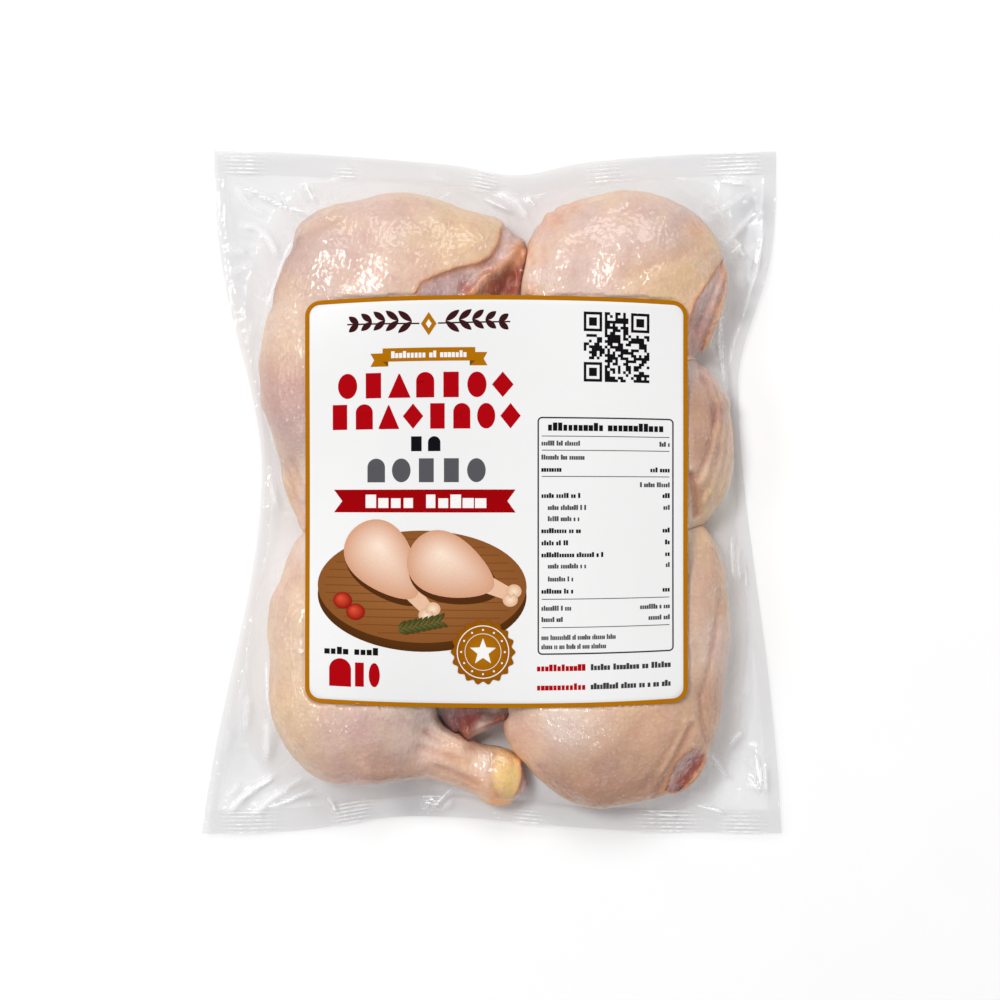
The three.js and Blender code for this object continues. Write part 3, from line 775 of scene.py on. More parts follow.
class Sheet:
    """A grid over the whole pouch: places, distances from its edges and its seals."""

    def __init__(self, cell):
        across, along = 2 * round(HALF_WIDTH / cell), 2 * round(HALF_LENGTH / cell)
        u, v = np.meshgrid(np.linspace(0, 1, across + 1), np.linspace(0, 1, along + 1))
        self.cell = cell
        self.x, self.y = place(u, v)
        self.from_side = np.minimum(u, 1 - u) * 2 * HALF_WIDTH
        self.from_end = np.minimum(v, 1 - v) * 2 * HALF_LENGTH
        self.sealed = (self.from_side <= SIDE_SEAL) | (self.from_end <= END_SEAL)
        self.seal = seal_height(self.x, self.y)
        self.parity = np.indices(u.shape).sum(axis=0) % 2

    def settle(self, height, fixed, pull, limit, sweeps):
        """Lets the sheet settle: each free point goes where its neighbours and limits let it."""
        over_relax = 1.6
        sag = pull * self.cell**2 / 4
        free = ~fixed
        free[0] = free[-1] = free[:, 0] = free[:, -1] = False
        for _ in range(sweeps):
            for parity in (0, 1):
                middle = np.zeros_like(height)
                middle[1:-1, 1:-1] = (
                    height[:-2, 1:-1] + height[2:, 1:-1] + height[1:-1, :-2] + height[1:-1, 2:]
                ) / 4
                moved = limit(mix(height, middle - sag, over_relax))
                height = np.where(free & (self.parity == parity), moved, height)
        return height

    def resampled(self, height):
        """A coarser sheet's heights on this sheet's points."""
        rows = np.linspace(0, height.shape[0] - 1, self.x.shape[0])
        columns = np.linspace(0, height.shape[1] - 1, self.x.shape[1])
        wide = np.array([np.interp(columns, np.arange(height.shape[1]), row) for row in height])
        tall = [np.interp(rows, np.arange(height.shape[0]), column) for column in wide.T]
        return np.array(tall).T


def sample(axes, heights, x, y):
    """Heights over the quarters' grid at other places."""
    just_inside = 1.001
    column = np.clip((x - axes[0][0]) / VOXEL, 0, len(axes[0]) - just_inside)
    row = np.clip((y - axes[1][0]) / VOXEL, 0, len(axes[1]) - just_inside)
    i, j = column.astype(int), row.astype(int)
    s, t = column - i, row - j
    low = mix(heights[i, j], heights[i + 1, j], s)
    high = mix(heights[i, j + 1], heights[i + 1, j + 1], s)
    return mix(low, high, t)


def settled_films(axes, tops):
    """The front sheet, its heights and the back sheet's heights on the same points. They settle
    on a coarse grid first."""
    front = back = sheet = None
    for cell, sweeps in ((4 * FRONT_CELL, 300), (2 * FRONT_CELL, 160), (FRONT_CELL, 120)):
        sheet = Sheet(cell)
        under_label = label_distance(sheet.x, sheet.y) <= 0
        label_film = label_top(sheet.x, sheet.y) - LABEL_THICKNESS - LABEL_GAP
        meat = sample(axes, tops, sheet.x, sheet.y) + FILM_CLEARANCE
        highest = np.minimum(np.where(meat > 0, BACK_LOWEST, sheet.seal), sheet.seal)
        back = sheet.seal - SHEET_GAP / 2 if back is None else sheet.resampled(back)
        front = sheet.seal + SHEET_GAP / 2 if front is None else sheet.resampled(front)
        back = sheet.settle(
            np.where(sheet.sealed, sheet.seal - SHEET_GAP / 2, back),
            sheet.sealed, LOWER_PULL, lambda z: np.clip(z, BACK_LOWEST, highest), sweeps,
        )
        front = np.where(sheet.sealed, sheet.seal + SHEET_GAP / 2, front)
        lowest = np.maximum(meat, back + SHEET_GAP)
        front = sheet.settle(
            np.where(under_label, label_film, front),
            sheet.sealed | under_label, UPPER_PULL, lambda z: np.maximum(z, lowest), sweeps,
        )
    return sheet, front, back


def all_creases():
    """The named creases and swells, with small creases at random places along the edges."""
    rng = np.random.default_rng(21)
    lines = CREASES + [(line, SWELL_WIDTH, SWELL_HEIGHT) for line in SWELLS]
    small_creases = 64
    for _ in range(small_creases):
        side = rng.integers(4)
        along = rng.uniform(0.04, 0.96)
        inset = rng.uniform(0.035, 0.06)
        length = rng.uniform(0.03, 0.08)
        lean = rng.uniform(-0.03, 0.03)
        ends = np.array([(along, inset), (along + lean, inset + length)])
        if side in (1, 3):
            ends = ends[:, ::-1]
        if side in (2, 3):
            ends = 1 - ends
        line = [tuple(float(c) for c in place(*end)) for end in ends]
        lines.append((line, rng.uniform(1.4, 2.4), rng.uniform(0.3, 1.1)))
    return lines


def spots(sheet, table):
    """1 in the middle of each spot of a table and 0 away from them."""
    share = np.zeros_like(sheet.x)
    for x, y, radius in table:
        away = np.hypot(sheet.x - x, sheet.y - y) / radius
        share = np.maximum(share, 1 - smoothstep(away, 0.3, 1.2))
    return share


def creases(sheet, contact):
    """The creases' heights, and for the film's shader its distance from the sharp ones, how strong those
    are and how strong a painted sheen the broad ones get. The mesh takes a low, wide part of each crease,
    and the shader draws the sharp crests."""
    fully_sheened, fully_strong, far_off = 2.2, 1.6, 99
    height, strength, painted_sheen = (np.zeros_like(sheet.x) for _ in range(3))
    signed = np.full_like(sheet.x, far_off)
    for line, width, tall in all_creases():
        middle_x, middle_y = np.mean(line, axis=0)
        reach = max(math.dist((middle_x, middle_y), point) for point in line)
        away = line_distance(sheet.x, sheet.y, line)
        from_middle = np.hypot(sheet.x - middle_x, sheet.y - middle_y) / reach
        taper = 1 - smoothstep(from_middle, 0.5, 1.15)
        height = np.maximum(height, 0.4 * tall * taper * bell(away, 1.5 * width))
        if BROAD < width < SWELL_WIDTH:
            sheen = min(tall / fully_sheened, 1) * taper * bell(away, 0.65 * width)
            painted_sheen = np.maximum(painted_sheen, sheen)
        if width <= BROAD:
            (ax, ay), (bx, by) = line[0], line[-1]
            side = np.sign((bx - ax) * (sheet.y - ay) - (by - ay) * (sheet.x - ax))
            nearer = away < np.abs(signed)
            signed = np.where(nearer, away * side, signed)
            strength = np.where(nearer, min(tall / fully_strong, 1) * taper, strength)
    outside = smoothstep(label_distance(sheet.x, sheet.y), 2, 9)
    inside = smoothstep(np.minimum(sheet.from_side, sheet.from_end), 1, 9)
    mask = outside * inside * mix(1, 0.35, contact)
    return height * mask, signed, strength * outside * inside * mix(1, 0.7, contact), painted_sheen * mask


def ridged(x, y, size, seed, sharp=0.12):
    """Long crests where noise crosses zero: 1 on a crest and 0 away from it."""
    wave = noise(np.stack([x, y], -1), size, seed)
    return 1 - smoothstep(np.abs(wave), 0, sharp)


def film_waves(sheet, contact):
    """Low waves, pleats along the seals and wrinkles in the film."""
    x, y = sheet.x, sheet.y
    places = np.stack([x, y], -1)
    edge = np.minimum(sheet.from_side - SIDE_SEAL, sheet.from_end - END_SEAL)
    loose = (1 - contact) * smoothstep(edge, 0, 6)
    swell = 0.9 * noise(places, 19, 5) + 0.45 * noise(places, 8, 6)
    swell = np.maximum(swell * smoothstep(edge, 0, 9), 0)
    end_pleats = ridged(x, 0.22 * y, 8, 31, 0.3) * (1 - smoothstep(sheet.from_end, END_SEAL, 40))
    side_pleats = ridged(0.22 * x, y, 8, 32, 0.3) * (1 - smoothstep(sheet.from_side, SIDE_SEAL, 34))
    patches = smoothstep(noise(places, 30, 33), -0.1, 0.4)
    folds = 0.55 * ridged(x, y, 30, 34) + 0.3 * patches * ridged(x, y, 11, 35, 0.2)
    stuck = 0.26 * smoothstep(noise(places, 22, 36), -0.3, 0.3) * ridged(x, y, 8, 37, 0.3)
    height = loose * (swell + 0.7 * end_pleats + 0.6 * side_pleats + folds) + contact * stuck
    return height * smoothstep(label_distance(x, y), 1, 8)


def make_sheet(name, sheet, height, values, step, turn, material):
    """A sheet's mesh from every step-th point. Its faces look up, or down where turn is -1."""
    values = {"from_end": sheet.from_end, "from_side": sheet.from_side, **values}
    x, y, z = (array[::step, ::step] for array in (sheet.x, sheet.y, height))
    points = np.stack([x, y, z], -1).reshape(-1, 3)
    values = {key: value[::step, ::step].ravel() for key, value in values.items()}
    return make_mesh(name, points, grid_faces(*x.shape)[:, ::turn].tolist(), material, values=values)


# Materials


def new_material(name):
    material = bpy.data.materials.new(name)
    material.use_nodes = True
    material.node_tree.nodes.clear()
    return material, material.node_tree


def add(tree, kind, inputs=None, **settings):
    """A shader node. An input is a number, a colour or another node's output."""
    node = tree.nodes.new(kind)
    for key, value in settings.items():
        setattr(node, key, value)
    for key, value in (inputs or {}).items():
        if isinstance(value, bpy.types.NodeSocket):
            tree.links.new(value, node.inputs[key])
        else:
            node.inputs[key].default_value = value
    return node


def finished(material, kind, inputs):
    """The material, with a shader of that kind as its surface."""
    shader = add(material.node_tree, kind, inputs)
    add(material.node_tree, "ShaderNodeOutputMaterial", {"Surface": shader.outputs[0]})
    return material


def maths(tree, operation, *values):
    return add(tree, "ShaderNodeMath", dict(enumerate(values)), operation=operation).outputs[0]


def product(tree, *values):
    return functools.reduce(lambda a, b: maths(tree, "MULTIPLY", a, b), values)


def total_of(tree, *values):
    return functools.reduce(lambda a, b: maths(tree, "ADD", a, b), values)


def spread(tree, value, low, high, to_low=0, to_high=1):
    """A value's range from low to high, stretched to another range and held within it."""
    inputs = {"Value": value, "From Min": low, "From Max": high, "To Min": to_low, "To Max": to_high}
    return add(tree, "ShaderNodeMapRange", inputs).outputs[0]


def mixed_colour(tree, share, a, b):
    """A mix node's sockets for colours are its inputs 6 and 7 and its output 2."""
    return add(tree, "ShaderNodeMix", {0: share, 6: a, 7: b}, data_type="RGBA").outputs[2]


def attribute(tree, name, output="Fac"):
    return add(tree, "ShaderNodeAttribute", attribute_name=name).outputs[output]


def object_place(tree):
    return add(tree, "ShaderNodeTexCoord").outputs["Object"]


def noise_texture(tree, size, detail=2, stretch=None, turn=0):
    """Noise whose lumps are about that many millimetres wide. They may be drawn out along the
    directions whose stretch is below 1."""
    vector = object_place(tree)
    if stretch:
        inputs = {"Vector": vector, "Scale": stretch, "Rotation": (0, 0, math.radians(turn))}
        vector = add(tree, "ShaderNodeMapping", inputs).outputs[0]
    inputs = {"Vector": vector, "Scale": 1 / (size * MM), "Detail": detail}
    return add(tree, "ShaderNodeTexNoise", inputs).outputs["Fac"]


def bumped(tree, height, distance):
    """A normal from a height that is 1 where the surface stands that many millimetres up."""
    inputs = {"Height": height, "Strength": 1, "Distance": distance * MM}
    return add(tree, "ShaderNodeBump", inputs).outputs["Normal"]


def skin_colour(tree, tint, dots, fine):
    """The tint with red and yellow patches, dark specks, pale dots and veins."""
    redder = mixed_colour(tree, 0.6, tint, (0.66, 0.33, 0.27, 1))
    yellower = mixed_colour(tree, 0.45, tint, (0.86, 0.62, 0.33, 1))
    paler = mixed_colour(tree, 0.5, tint, (0.95, 0.86, 0.78, 1))
    darker = mixed_colour(tree, 0.5, tint, (0.42, 0.24, 0.18, 1))
    red_share = spread(tree, noise_texture(tree, 9, 4), 0.46, 0.72, 0, 0.55)
    yellow_share = spread(tree, noise_texture(tree, 15, 3), 0.5, 0.75, 0, 0.6)
    vein = maths(tree, "ABSOLUTE", maths(tree, "SUBTRACT", noise_texture(tree, 13, 5), 0.5))
    vein_share = spread(tree, vein, 0, 0.02, 0.16, 0)
    skin = mixed_colour(tree, red_share, tint, redder)
    skin = mixed_colour(tree, yellow_share, skin, yellower)
    skin = mixed_colour(tree, spread(tree, fine, 0.35, 0.7, 0.2, 0), skin, darker)
    skin = mixed_colour(tree, spread(tree, dots, 0, 1, 0.22, 0), skin, paler)
    return mixed_colour(tree, vein_share, skin, (0.45, 0.2, 0.2, 1))


def meat_colour(tree, tint, fine):
    """The tint with dark blotches and pale fibres."""
    fibres = noise_texture(tree, 1.5, 4, (1, 0.2, 1), 38)
    dark = mixed_colour(tree, 0.5, tint, (0.16, 0.03, 0.03, 1))
    blotches = noise_texture(tree, 6, 3)
    meat = mixed_colour(tree, spread(tree, blotches, 0.4, 0.68, 0, 0.5), tint, dark)
    meat = mixed_colour(tree, spread(tree, fine, 0.3, 0.7, 0, 0.3), meat, dark)
    return mixed_colour(tree, spread(tree, fibres, 0.54, 0.7, 0, 0.35), meat, (0.84, 0.66, 0.6, 1))


def flesh_material():
    """Raw skin with fine pimples, and wet meat with fibres and pale streaks."""
    material, tree = new_material("raw_flesh")
    tint = attribute(tree, "tint", "Color")
    inputs = {"Vector": object_place(tree), "Scale": 1 / (2.6 * MM), "Randomness": 0.85}
    pimples = add(tree, "ShaderNodeTexVoronoi", inputs).outputs["Distance"]
    dots = spread(tree, pimples, 0.08, 0.5)
    fine = noise_texture(tree, 3, 2.5)
    skin, meat = skin_colour(tree, tint, dots, fine), meat_colour(tree, tint, fine)
    wrinkles = noise_texture(tree, 4.5, 3, (1, 0.3, 1), -25)
    relief = total_of(tree, product(tree, dots, -0.35), fine, product(tree, wrinkles, 0.8))
    return finished(material, "ShaderNodeBsdfPrincipled", {
        "Base Color": mixed_colour(tree, attribute(tree, "bare"), skin, meat),
        "Roughness": 0.42,
        "Specular IOR Level": 0.3,
        "Subsurface Weight": 0.12,
        "Subsurface Radius": (1, 0.42, 0.25),
        "Subsurface Scale": 2.2 * MM,
        "Normal": bumped(tree, relief, 0.5),
    })


def rib_wave(tree, distance, width):
    """Ribs pressed along a seal of that width, from -1 to 1."""
    wave = maths(tree, "SINE", product(tree, distance, 2 * math.pi / RIB_PITCH))
    return product(tree, wave, spread(tree, distance, width - 1, width, 1, 0))


def film_relief(tree, ribs, crease):
    """The film's finest shape: ribbed seals, sharp creases and crinkles."""
    out_of_seal = spread(tree, attribute(tree, "from_end"), END_SEAL - 1, END_SEAL + 2, 0.12, 1)
    share = spread(tree, attribute(tree, "slack"), 0, 1, 0.52, 0.12)
    fine = noise_texture(tree, 2.1, 0.6, (1, 0.6, 1), 12)
    crinkle = product(tree, fine, share, out_of_seal)
    raised = total_of(tree, product(tree, ribs, 0.05), crinkle, product(tree, crease, 0.45))
    return bumped(tree, raised, 1)


def film_shade(tree, facing, end, side):
    """What the film lets through: less at a slant, in the seals and in the painted shadows."""
    slanted = spread(tree, facing, 0, 0.07)
    shade = mixed_colour(tree, slanted, LEVEL_SHADE, SLANT_SHADE)
    in_end = spread(tree, end, END_SEAL - 0.5, END_SEAL + 0.5, 1, 0)
    in_side = spread(tree, side, SIDE_SEAL - 0.5, SIDE_SEAL + 0.5, 1, 0)
    sealed = maths(tree, "MAXIMUM", in_end, product(tree, in_side, 0.7))
    shade = mixed_colour(tree, sealed, shade, SEAL_SHADE)
    # Painted shadow: the film is greyer where the quarters cast shadow.
    return mixed_colour(tree, attribute(tree, "tuck"), shade, PAINTED_SHADOW_SHADE)


def film_whitening_and_painted_light(tree, facing, ribs, crease):
    """How white the film looks: on sharp creases, partly its own whitening and partly a painted highlight;
    a painted highlight on lit ribs, in patches; a painted sheen along broad creases; and painted light
    that lifts the shade, a little everywhere and more where the film is steep.
    """
    grain = spread(tree, noise_texture(tree, 4, 1), 0.35, 0.62, 0.35, 1)
    painted_rib_highlight = product(tree, spread(tree, ribs, 0.1, 1), attribute(tree, "shine"), grain, 0.85)
    crease_whitening_and_highlight = product(tree, maths(tree, "POWER", crease, 3.5), 0.85)
    painted_broad_sheen = product(tree, attribute(tree, "painted_sheen"), 0.62)
    painted_steep_light = spread(tree, facing, 0.2, 0.65, 0.01, 0.07)
    return maths(tree, "MINIMUM", total_of(tree, crease_whitening_and_highlight, painted_rib_highlight, painted_broad_sheen, painted_steep_light), 1)


def film_material():
    """Clear film: seen through, with a mirror share that grows at a slant, and white places that are
    partly its own whitening and partly painted highlight, sheen and light.
    """
    material, tree = new_material("clear_film")
    end, side = attribute(tree, "from_end"), attribute(tree, "from_side")
    side_ribs = product(tree, rib_wave(tree, side, SIDE_SEAL), 0.3)
    ribs = total_of(tree, rib_wave(tree, end, END_SEAL), side_ribs)
    near_crease = spread(tree, maths(tree, "ABSOLUTE", attribute(tree, "crease_away")), 0, 2.2, 1, 0)
    crease = product(tree, near_crease, attribute(tree, "crease"))
    normal = film_relief(tree, ribs, crease)
    facing = add(tree, "ShaderNodeLayerWeight", {"Blend": 0.5, "Normal": normal}).outputs["Facing"]
    mirror = product(tree, maths(tree, "POWER", facing, 3), 0.7)
    least = spread(tree, attribute(tree, "slack"), 0, 1, 0.03, 0.012)
    share = total_of(tree, mirror, least, product(tree, crease, 0.11))
    clear = add(tree, "ShaderNodeBsdfTransparent", {"Color": film_shade(tree, facing, end, side)})
    gloss = add(tree, "ShaderNodeBsdfGlossy", {"Color": (1, 1, 1, 1), "Roughness": 0.07, "Normal": normal})
    both = add(tree, "ShaderNodeMixShader", {0: share, 1: clear.outputs[0], 2: gloss.outputs[0]})
    # White mixed into the film: partly its own whitening, partly painted highlight, sheen and light.
    white = add(tree, "ShaderNodeBsdfDiffuse", {"Color": (0.97, 0.97, 0.97, 1)})
    whitening_and_painted_light = film_whitening_and_painted_light(tree, facing, ribs, crease)
    return finished(material, "ShaderNodeMixShader", {0: whitening_and_painted_light, 1: both.outputs[0], 2: white.outputs[0]})


def paper_material():
    material, tree = new_material("label_paper")
    grain = noise_texture(tree, 0.6, 3)
    return finished(material, "ShaderNodeBsdfPrincipled", {
        "Base Color": mixed_colour(tree, grain, (0.785, 0.782, 0.78, 1), (0.825, 0.822, 0.82, 1)),
        "Roughness": 0.42,
        "Specular IOR Level": 0.3,
        "Normal": bumped(tree, noise_texture(tree, 30), 0.4),
    })


def ink_material():
    material, tree = new_material("label_ink")
    tint = attribute(tree, "ink", "Color")
    darker = mixed_colour(tree, 0.15, tint, (0, 0, 0, 1))
    colour = mixed_colour(tree, noise_texture(tree, 0.9, 3), tint, darker)
    inputs = {"Base Color": colour, "Roughness": 0.55, "Specular IOR Level": 0}
    return finished(material, "ShaderNodeBsdfPrincipled", inputs)


def floor_material():
    material, tree = new_material("pale_floor")
    grain = noise_texture(tree, 40, 3)
    colour = mixed_colour(tree, grain, (0.94, 0.94, 0.94, 1), (0.96, 0.96, 0.96, 1))
    return finished(material, "ShaderNodeBsdfPrincipled", {"Base Color": colour, "Roughness": 0.8})


# Flat outlines for the label, counter-clockwise around the origin


def around(count):
    """That many angles, evenly spaced over a full turn."""
    return np.linspace(0, 2 * math.pi, count, endpoint=False)


def ellipse(across, along, count=48):
    angles = around(count)
    return np.stack([across * np.cos(angles), along * np.sin(angles)], -1)


def turned(points, degrees):
    angle = math.radians(degrees)
    c, s = math.cos(angle), math.sin(angle)
    x, y = points[:, 0], points[:, 1]
    return np.stack([x * c - y * s, x * s + y * c], -1)


def rounded_rectangle(width, length, corner):
    corner_steps, edge_steps = 9, 30
    arcs = []
    for turn, (sx, sy) in enumerate(((1, 1), (-1, 1), (-1, -1), (1, -1))):
        angles = np.linspace(0, math.pi / 2, corner_steps) + turn * math.pi / 2
        middle = sx * (width / 2 - corner), sy * (length / 2 - corner)
        arcs.append(np.stack([np.cos(angles), np.sin(angles)], -1) * corner + middle)
    edges = [np.linspace(a[-1], b[0], edge_steps)[1:-1] for a, b in zip(arcs, arcs[1:] + arcs[:1])]
    return np.concatenate([part for pair in zip(arcs, edges) for part in pair])


def even(outline, count):
    """The same closed outline with that many points, evenly spaced."""
    closed = np.concatenate([outline, outline[:1]])
    run = np.concatenate([[0], np.cumsum(np.linalg.norm(np.diff(closed, axis=0), axis=1))])
    at = np.linspace(0, run[-1], count, endpoint=False)
    return np.stack([np.interp(at, run, closed[:, axis]) for axis in (0, 1)], -1)


def leaf(length, width):
    """A pointed leaf from the origin along +X."""
    t = np.linspace(0, 1, 11)
    upper = np.stack([length * t, width * np.sin(math.pi * t) ** 0.8], -1)
    return np.concatenate([upper * (1, -1), upper[-2:0:-1]])


# Label


def on_label(flat):
    """Places on the pouch from places around the label's middle, bowed as its two ends are."""
    x, y = flat[..., 0], flat[..., 1]
    return x + LABEL_X, y + label_bow(x, y) + LABEL_Y


def make_label(material):
    """The label's sheet: two faces in rings around its middle, and a rim."""
    outline = rounded_rectangle(LABEL_WIDTH, LABEL_LENGTH, LABEL_CORNER)
    rings, innermost, count = 26, 0.004, len(outline)
    x, y = on_label(outline[None] * np.linspace(1, innermost, rings)[:, None, None])
    top = label_top(x, y)
    both = [np.stack([x, y, z], -1).reshape(-1, 3) for z in (top, top - LABEL_THICKNESS)]
    ring = np.arange(count)
    following = (ring + 1) % count
    low, last = rings * count, (rings - 1) * count
    quads = [np.stack([ring + low, following + low, following, ring], -1)]
    for n in range(rings - 1):
        a, b = n * count + ring, n * count + following
        c, d = b + count, a + count
        quads += [np.stack([a, b, c, d], -1), np.stack([a, d, c, b], -1) + low]
    middles = [(last + ring).tolist(), (last + low + ring[::-1]).tolist()]
    faces = np.concatenate(quads).tolist() + middles
    return make_mesh("label_sheet", np.concatenate(both), faces, material)


class Print:
    """Collects flat shapes on the label, each in one ink, at heights that set their order."""

    LAYER = 0.035
    LONGEST = 6

    def __init__(self):
        self.rng = np.random.default_rng(8)
        self.points, self.faces, self.inks = [], [], []
        self.count = 0

    def grid(self, flat, ink, layer, rim=None):
        """A grid of places (rows, columns, 2) from the label's middle. Its first row may have
        another ink, which blends into the last row's."""
        x, y = on_label(flat)
        z = label_top(x, y) + self.LAYER * layer
        self.points.append(np.stack([x, y, z], -1).reshape(-1, 3))
        self.faces.append(grid_faces(*x.shape) + self.count)
        blend = mix(linear(rim or ink), linear(ink), np.linspace(0, 1, len(x))[:, None, None])
        self.inks.append(np.broadcast_to(blend, (*x.shape, 3)).reshape(-1, 3))
        self.count += x.size

    def patch(self, corners, ink, layer=1):
        """A four-sided shape, its corners counter-clockwise from the lower left."""
        a, b, c, d = np.array(corners, float)
        across, along = (
            max(2, 1 + math.ceil(np.linalg.norm(side) / self.LONGEST)) for side in (b - a, d - a)
        )
        s = np.linspace(0, 1, across)[None, :, None]
        t = np.linspace(0, 1, along)[:, None, None]
        self.grid(mix(mix(a, b, s), mix(d, c, s), t), ink, layer)

    def bar(self, x, y, width, height, ink, layer=1):
        """An upright rectangle around its middle."""
        w, h = width / 2, height / 2
        self.patch([(x - w, y - h), (x + w, y - h), (x + w, y + h), (x - w, y + h)], ink, layer)

    def band(self, inner, outer, ink, layer=1, rim=None):
        """The area between two closed outlines of as many points."""
        widest = np.linalg.norm(outer - inner, axis=1).max()
        share = np.linspace(0, 1, 2 + int(widest / self.LONGEST))[:, None, None]
        inner, outer = (np.concatenate([line, line[:1]])[None] for line in (inner, outer))
        self.grid(mix(outer, inner, share), ink, layer, rim)

    def disc(self, middle, outline, ink, layer=1, rim=None, light=(0, 0)):
        """The area inside a closed outline given around the origin. The ink may blend into
        another one at the rim, from a place beside the middle."""
        outline = outline + middle
        self.band(np.tile(np.add(middle, light), (len(outline), 1)), outline, ink, layer, rim)

    def mesh(self, name, material):
        points, faces, inks = map(np.concatenate, (self.points, self.faces, self.inks))
        return make_mesh(name, points, faces.tolist(), material, {"ink": inks})


def line_length(counts):
    """The length of a line of print in blocks, with a space between its groups."""
    return sum(counts) + 0.8 * (len(counts) - 1)


def words(sheet, x, y, height, counts, width, ink, layer=1):
    """A row of small blocks in groups, as a line of print looks from a step away."""
    pitch = width / line_length(counts)
    for count in counts:
        for _ in range(count):
            tall = height * sheet.rng.choice([0.72, 0.74, 1.0])
            wide = pitch * sheet.rng.uniform(0.72, 0.92)
            sheet.bar(x + pitch / 2, y - (height - tall) / 2, wide, tall, ink, layer)
            x += pitch
        x += 0.8 * pitch


def title_row(sheet, left, right, y, height, shapes, ink):
    """A row of plain shapes: a block, a disc, an arch, a lozenge or a triangle."""
    shapes = shapes.split()
    pitch = (right - left) / len(shapes)
    half, w = height / 2, 0.35 * pitch
    for n, shape in enumerate(shapes):
        x = left + (n + 0.5) * pitch
        if shape == "block":
            sheet.bar(x, y, 1.7 * w, height, ink)
        elif shape == "disc":
            sheet.disc((x, y), ellipse(1.06 * w, half), ink)
        elif shape == "arch":
            sheet.disc((x, y + half - w), ellipse(w, w), ink)
            sheet.bar(x, y - w / 2, 2 * w, height - w, ink)
        elif shape == "lozenge":
            sheet.disc((x, y), ellipse(1.2 * w, half, 4), ink)
        elif shape == "triangle":
            foot, tip, reach = -half * 2 / 3, half * 4 / 3, 1.25 * w
            corners = np.array([(reach, foot), (0, tip), (-reach, foot)])
            sheet.disc((x, y - half / 3), even(corners, 24), ink)


def print_frame(sheet):
    """The gold border along the label's edge."""
    border = 2.4
    width, length, corner = LABEL_WIDTH - 2 * border, LABEL_LENGTH - 2 * border, LABEL_CORNER - border
    outer = rounded_rectangle(LABEL_WIDTH, LABEL_LENGTH, LABEL_CORNER)
    sheet.band(rounded_rectangle(width, length, corner), outer, GOLD)


def print_emblem(sheet):
    """A plain sprig with a gold lozenge in its middle."""
    middle = np.array([-36.6, 95])
    for side in (-1, 1):
        for n in range(5):
            reach = 9 + 7.2 * n
            lift = 2.2 * math.sin(reach / 14)
            for up in (-1, 1):
                shape = turned(leaf(9.6 - 0.7 * n, 1.7), up * 38) * (side, 1)
                sheet.disc(middle + (side * reach, lift), shape, BROWN, 2)
        near, far = middle + (side * 5, 0.2), middle + (side * 44, 0.9)
        half = np.array([0, 0.4])
        sheet.patch([near - half, far - half, far + half, near + half][::side], BROWN)
    sheet.disc(middle, ellipse(4.2, 6.2, 4), GOLD, 3)
    sheet.disc(middle, ellipse(1.6, 2.4, 4), WHITE, 4)


def print_ribbon(sheet):
    """A small gold ribbon with folded tails."""
    left, right, top, bottom, drop = -61.5, -11.5, 82.3, 75.2, 2.6
    tail, notch, tuck = 6.6, 2, 3
    low, middle, high = bottom - drop, (top + bottom) / 2 - drop, top - drop
    for side, edge in ((-1, left), (1, right)):
        outer, inner = edge + side * tail, edge - side * tuck
        notched = outer - side * notch
        sheet.patch([(inner, high), (outer, high), (notched, middle), (inner, middle)][::-side], GOLD)
        sheet.patch([(inner, middle), (notched, middle), (outer, low), (inner, low)][::-side], GOLD)
        fold = [(inner, low), (edge, bottom), (edge, bottom), (inner, bottom)]
        sheet.patch(fold[::-side], DARK_GOLD, 2)
    sheet.patch([(left, bottom), (right, bottom), (right, top), (left, top)], GOLD, 3)
    words(sheet, left + 4.5, 78.8, 3.6, [9, 2, 7], right - left - 9, WHITE, 4)


def print_titles(sheet):
    """Rows of plain shapes over a dark red banner."""
    title_row(sheet, -87.5, 10.4, 62.5, 13.6, "disc block triangle arch block disc lozenge", RED)
    title_row(sheet, -91.3, 14.2, 45.8, 13.6, "block arch triangle lozenge block arch disc lozenge", RED)
    title_row(sheet, -48.2, -28.9, 31, 8, "block arch", BLACK)
    title_row(sheet, -71.9, -4.1, 16.8, 12.8, "arch disc block block disc", GREY)
    left, right, top, bottom, notch = -88, 10.4, 6.5, -5.8, 4.5
    waist_left, waist_right = (left + notch, (top + bottom) / 2), (right - notch, (top + bottom) / 2)
    sheet.patch([(left, bottom), (right, bottom), waist_right, waist_left], DARK_RED)
    sheet.patch([waist_left, waist_right, (right, top), (left, top)], DARK_RED)
    words(sheet, -71.4, 0.2, 7.2, [4, 5], 66.2, WHITE, 2)


def print_drumstick(sheet, middle, turn, size, layer):
    """A plain drumstick that points along +X before it is turned."""
    taper = 1 - 0.34 * np.cos(around(48))
    body = ellipse(19, 12.5 * taper) * size
    bone = np.array([(12, -4), (27, -2.6), (27, 2.6), (12, 4)]) * size
    sheet.disc(middle + (1.5, -3), turned(body * 1.03, turn), (84, 46, 20), layer)
    sheet.patch(turned(bone, turn) + middle, (234, 190, 160), layer + 1)
    for knob in turned(np.array([(27.5, -1.9), (27.5, 1.9)]) * size, turn) + middle:
        outline = ellipse(3.2 * size, 2.9 * size, 20)
        sheet.disc(knob, outline, (250, 228, 200), layer + 2, (222, 176, 140))
    light = turned(np.array([(-4.5, 2.5)]) * size, turn)[0] + (-2, 2.5)
    sheet.disc(middle, turned(body, turn), (252, 228, 208), layer + 2, (216, 160, 128), light)


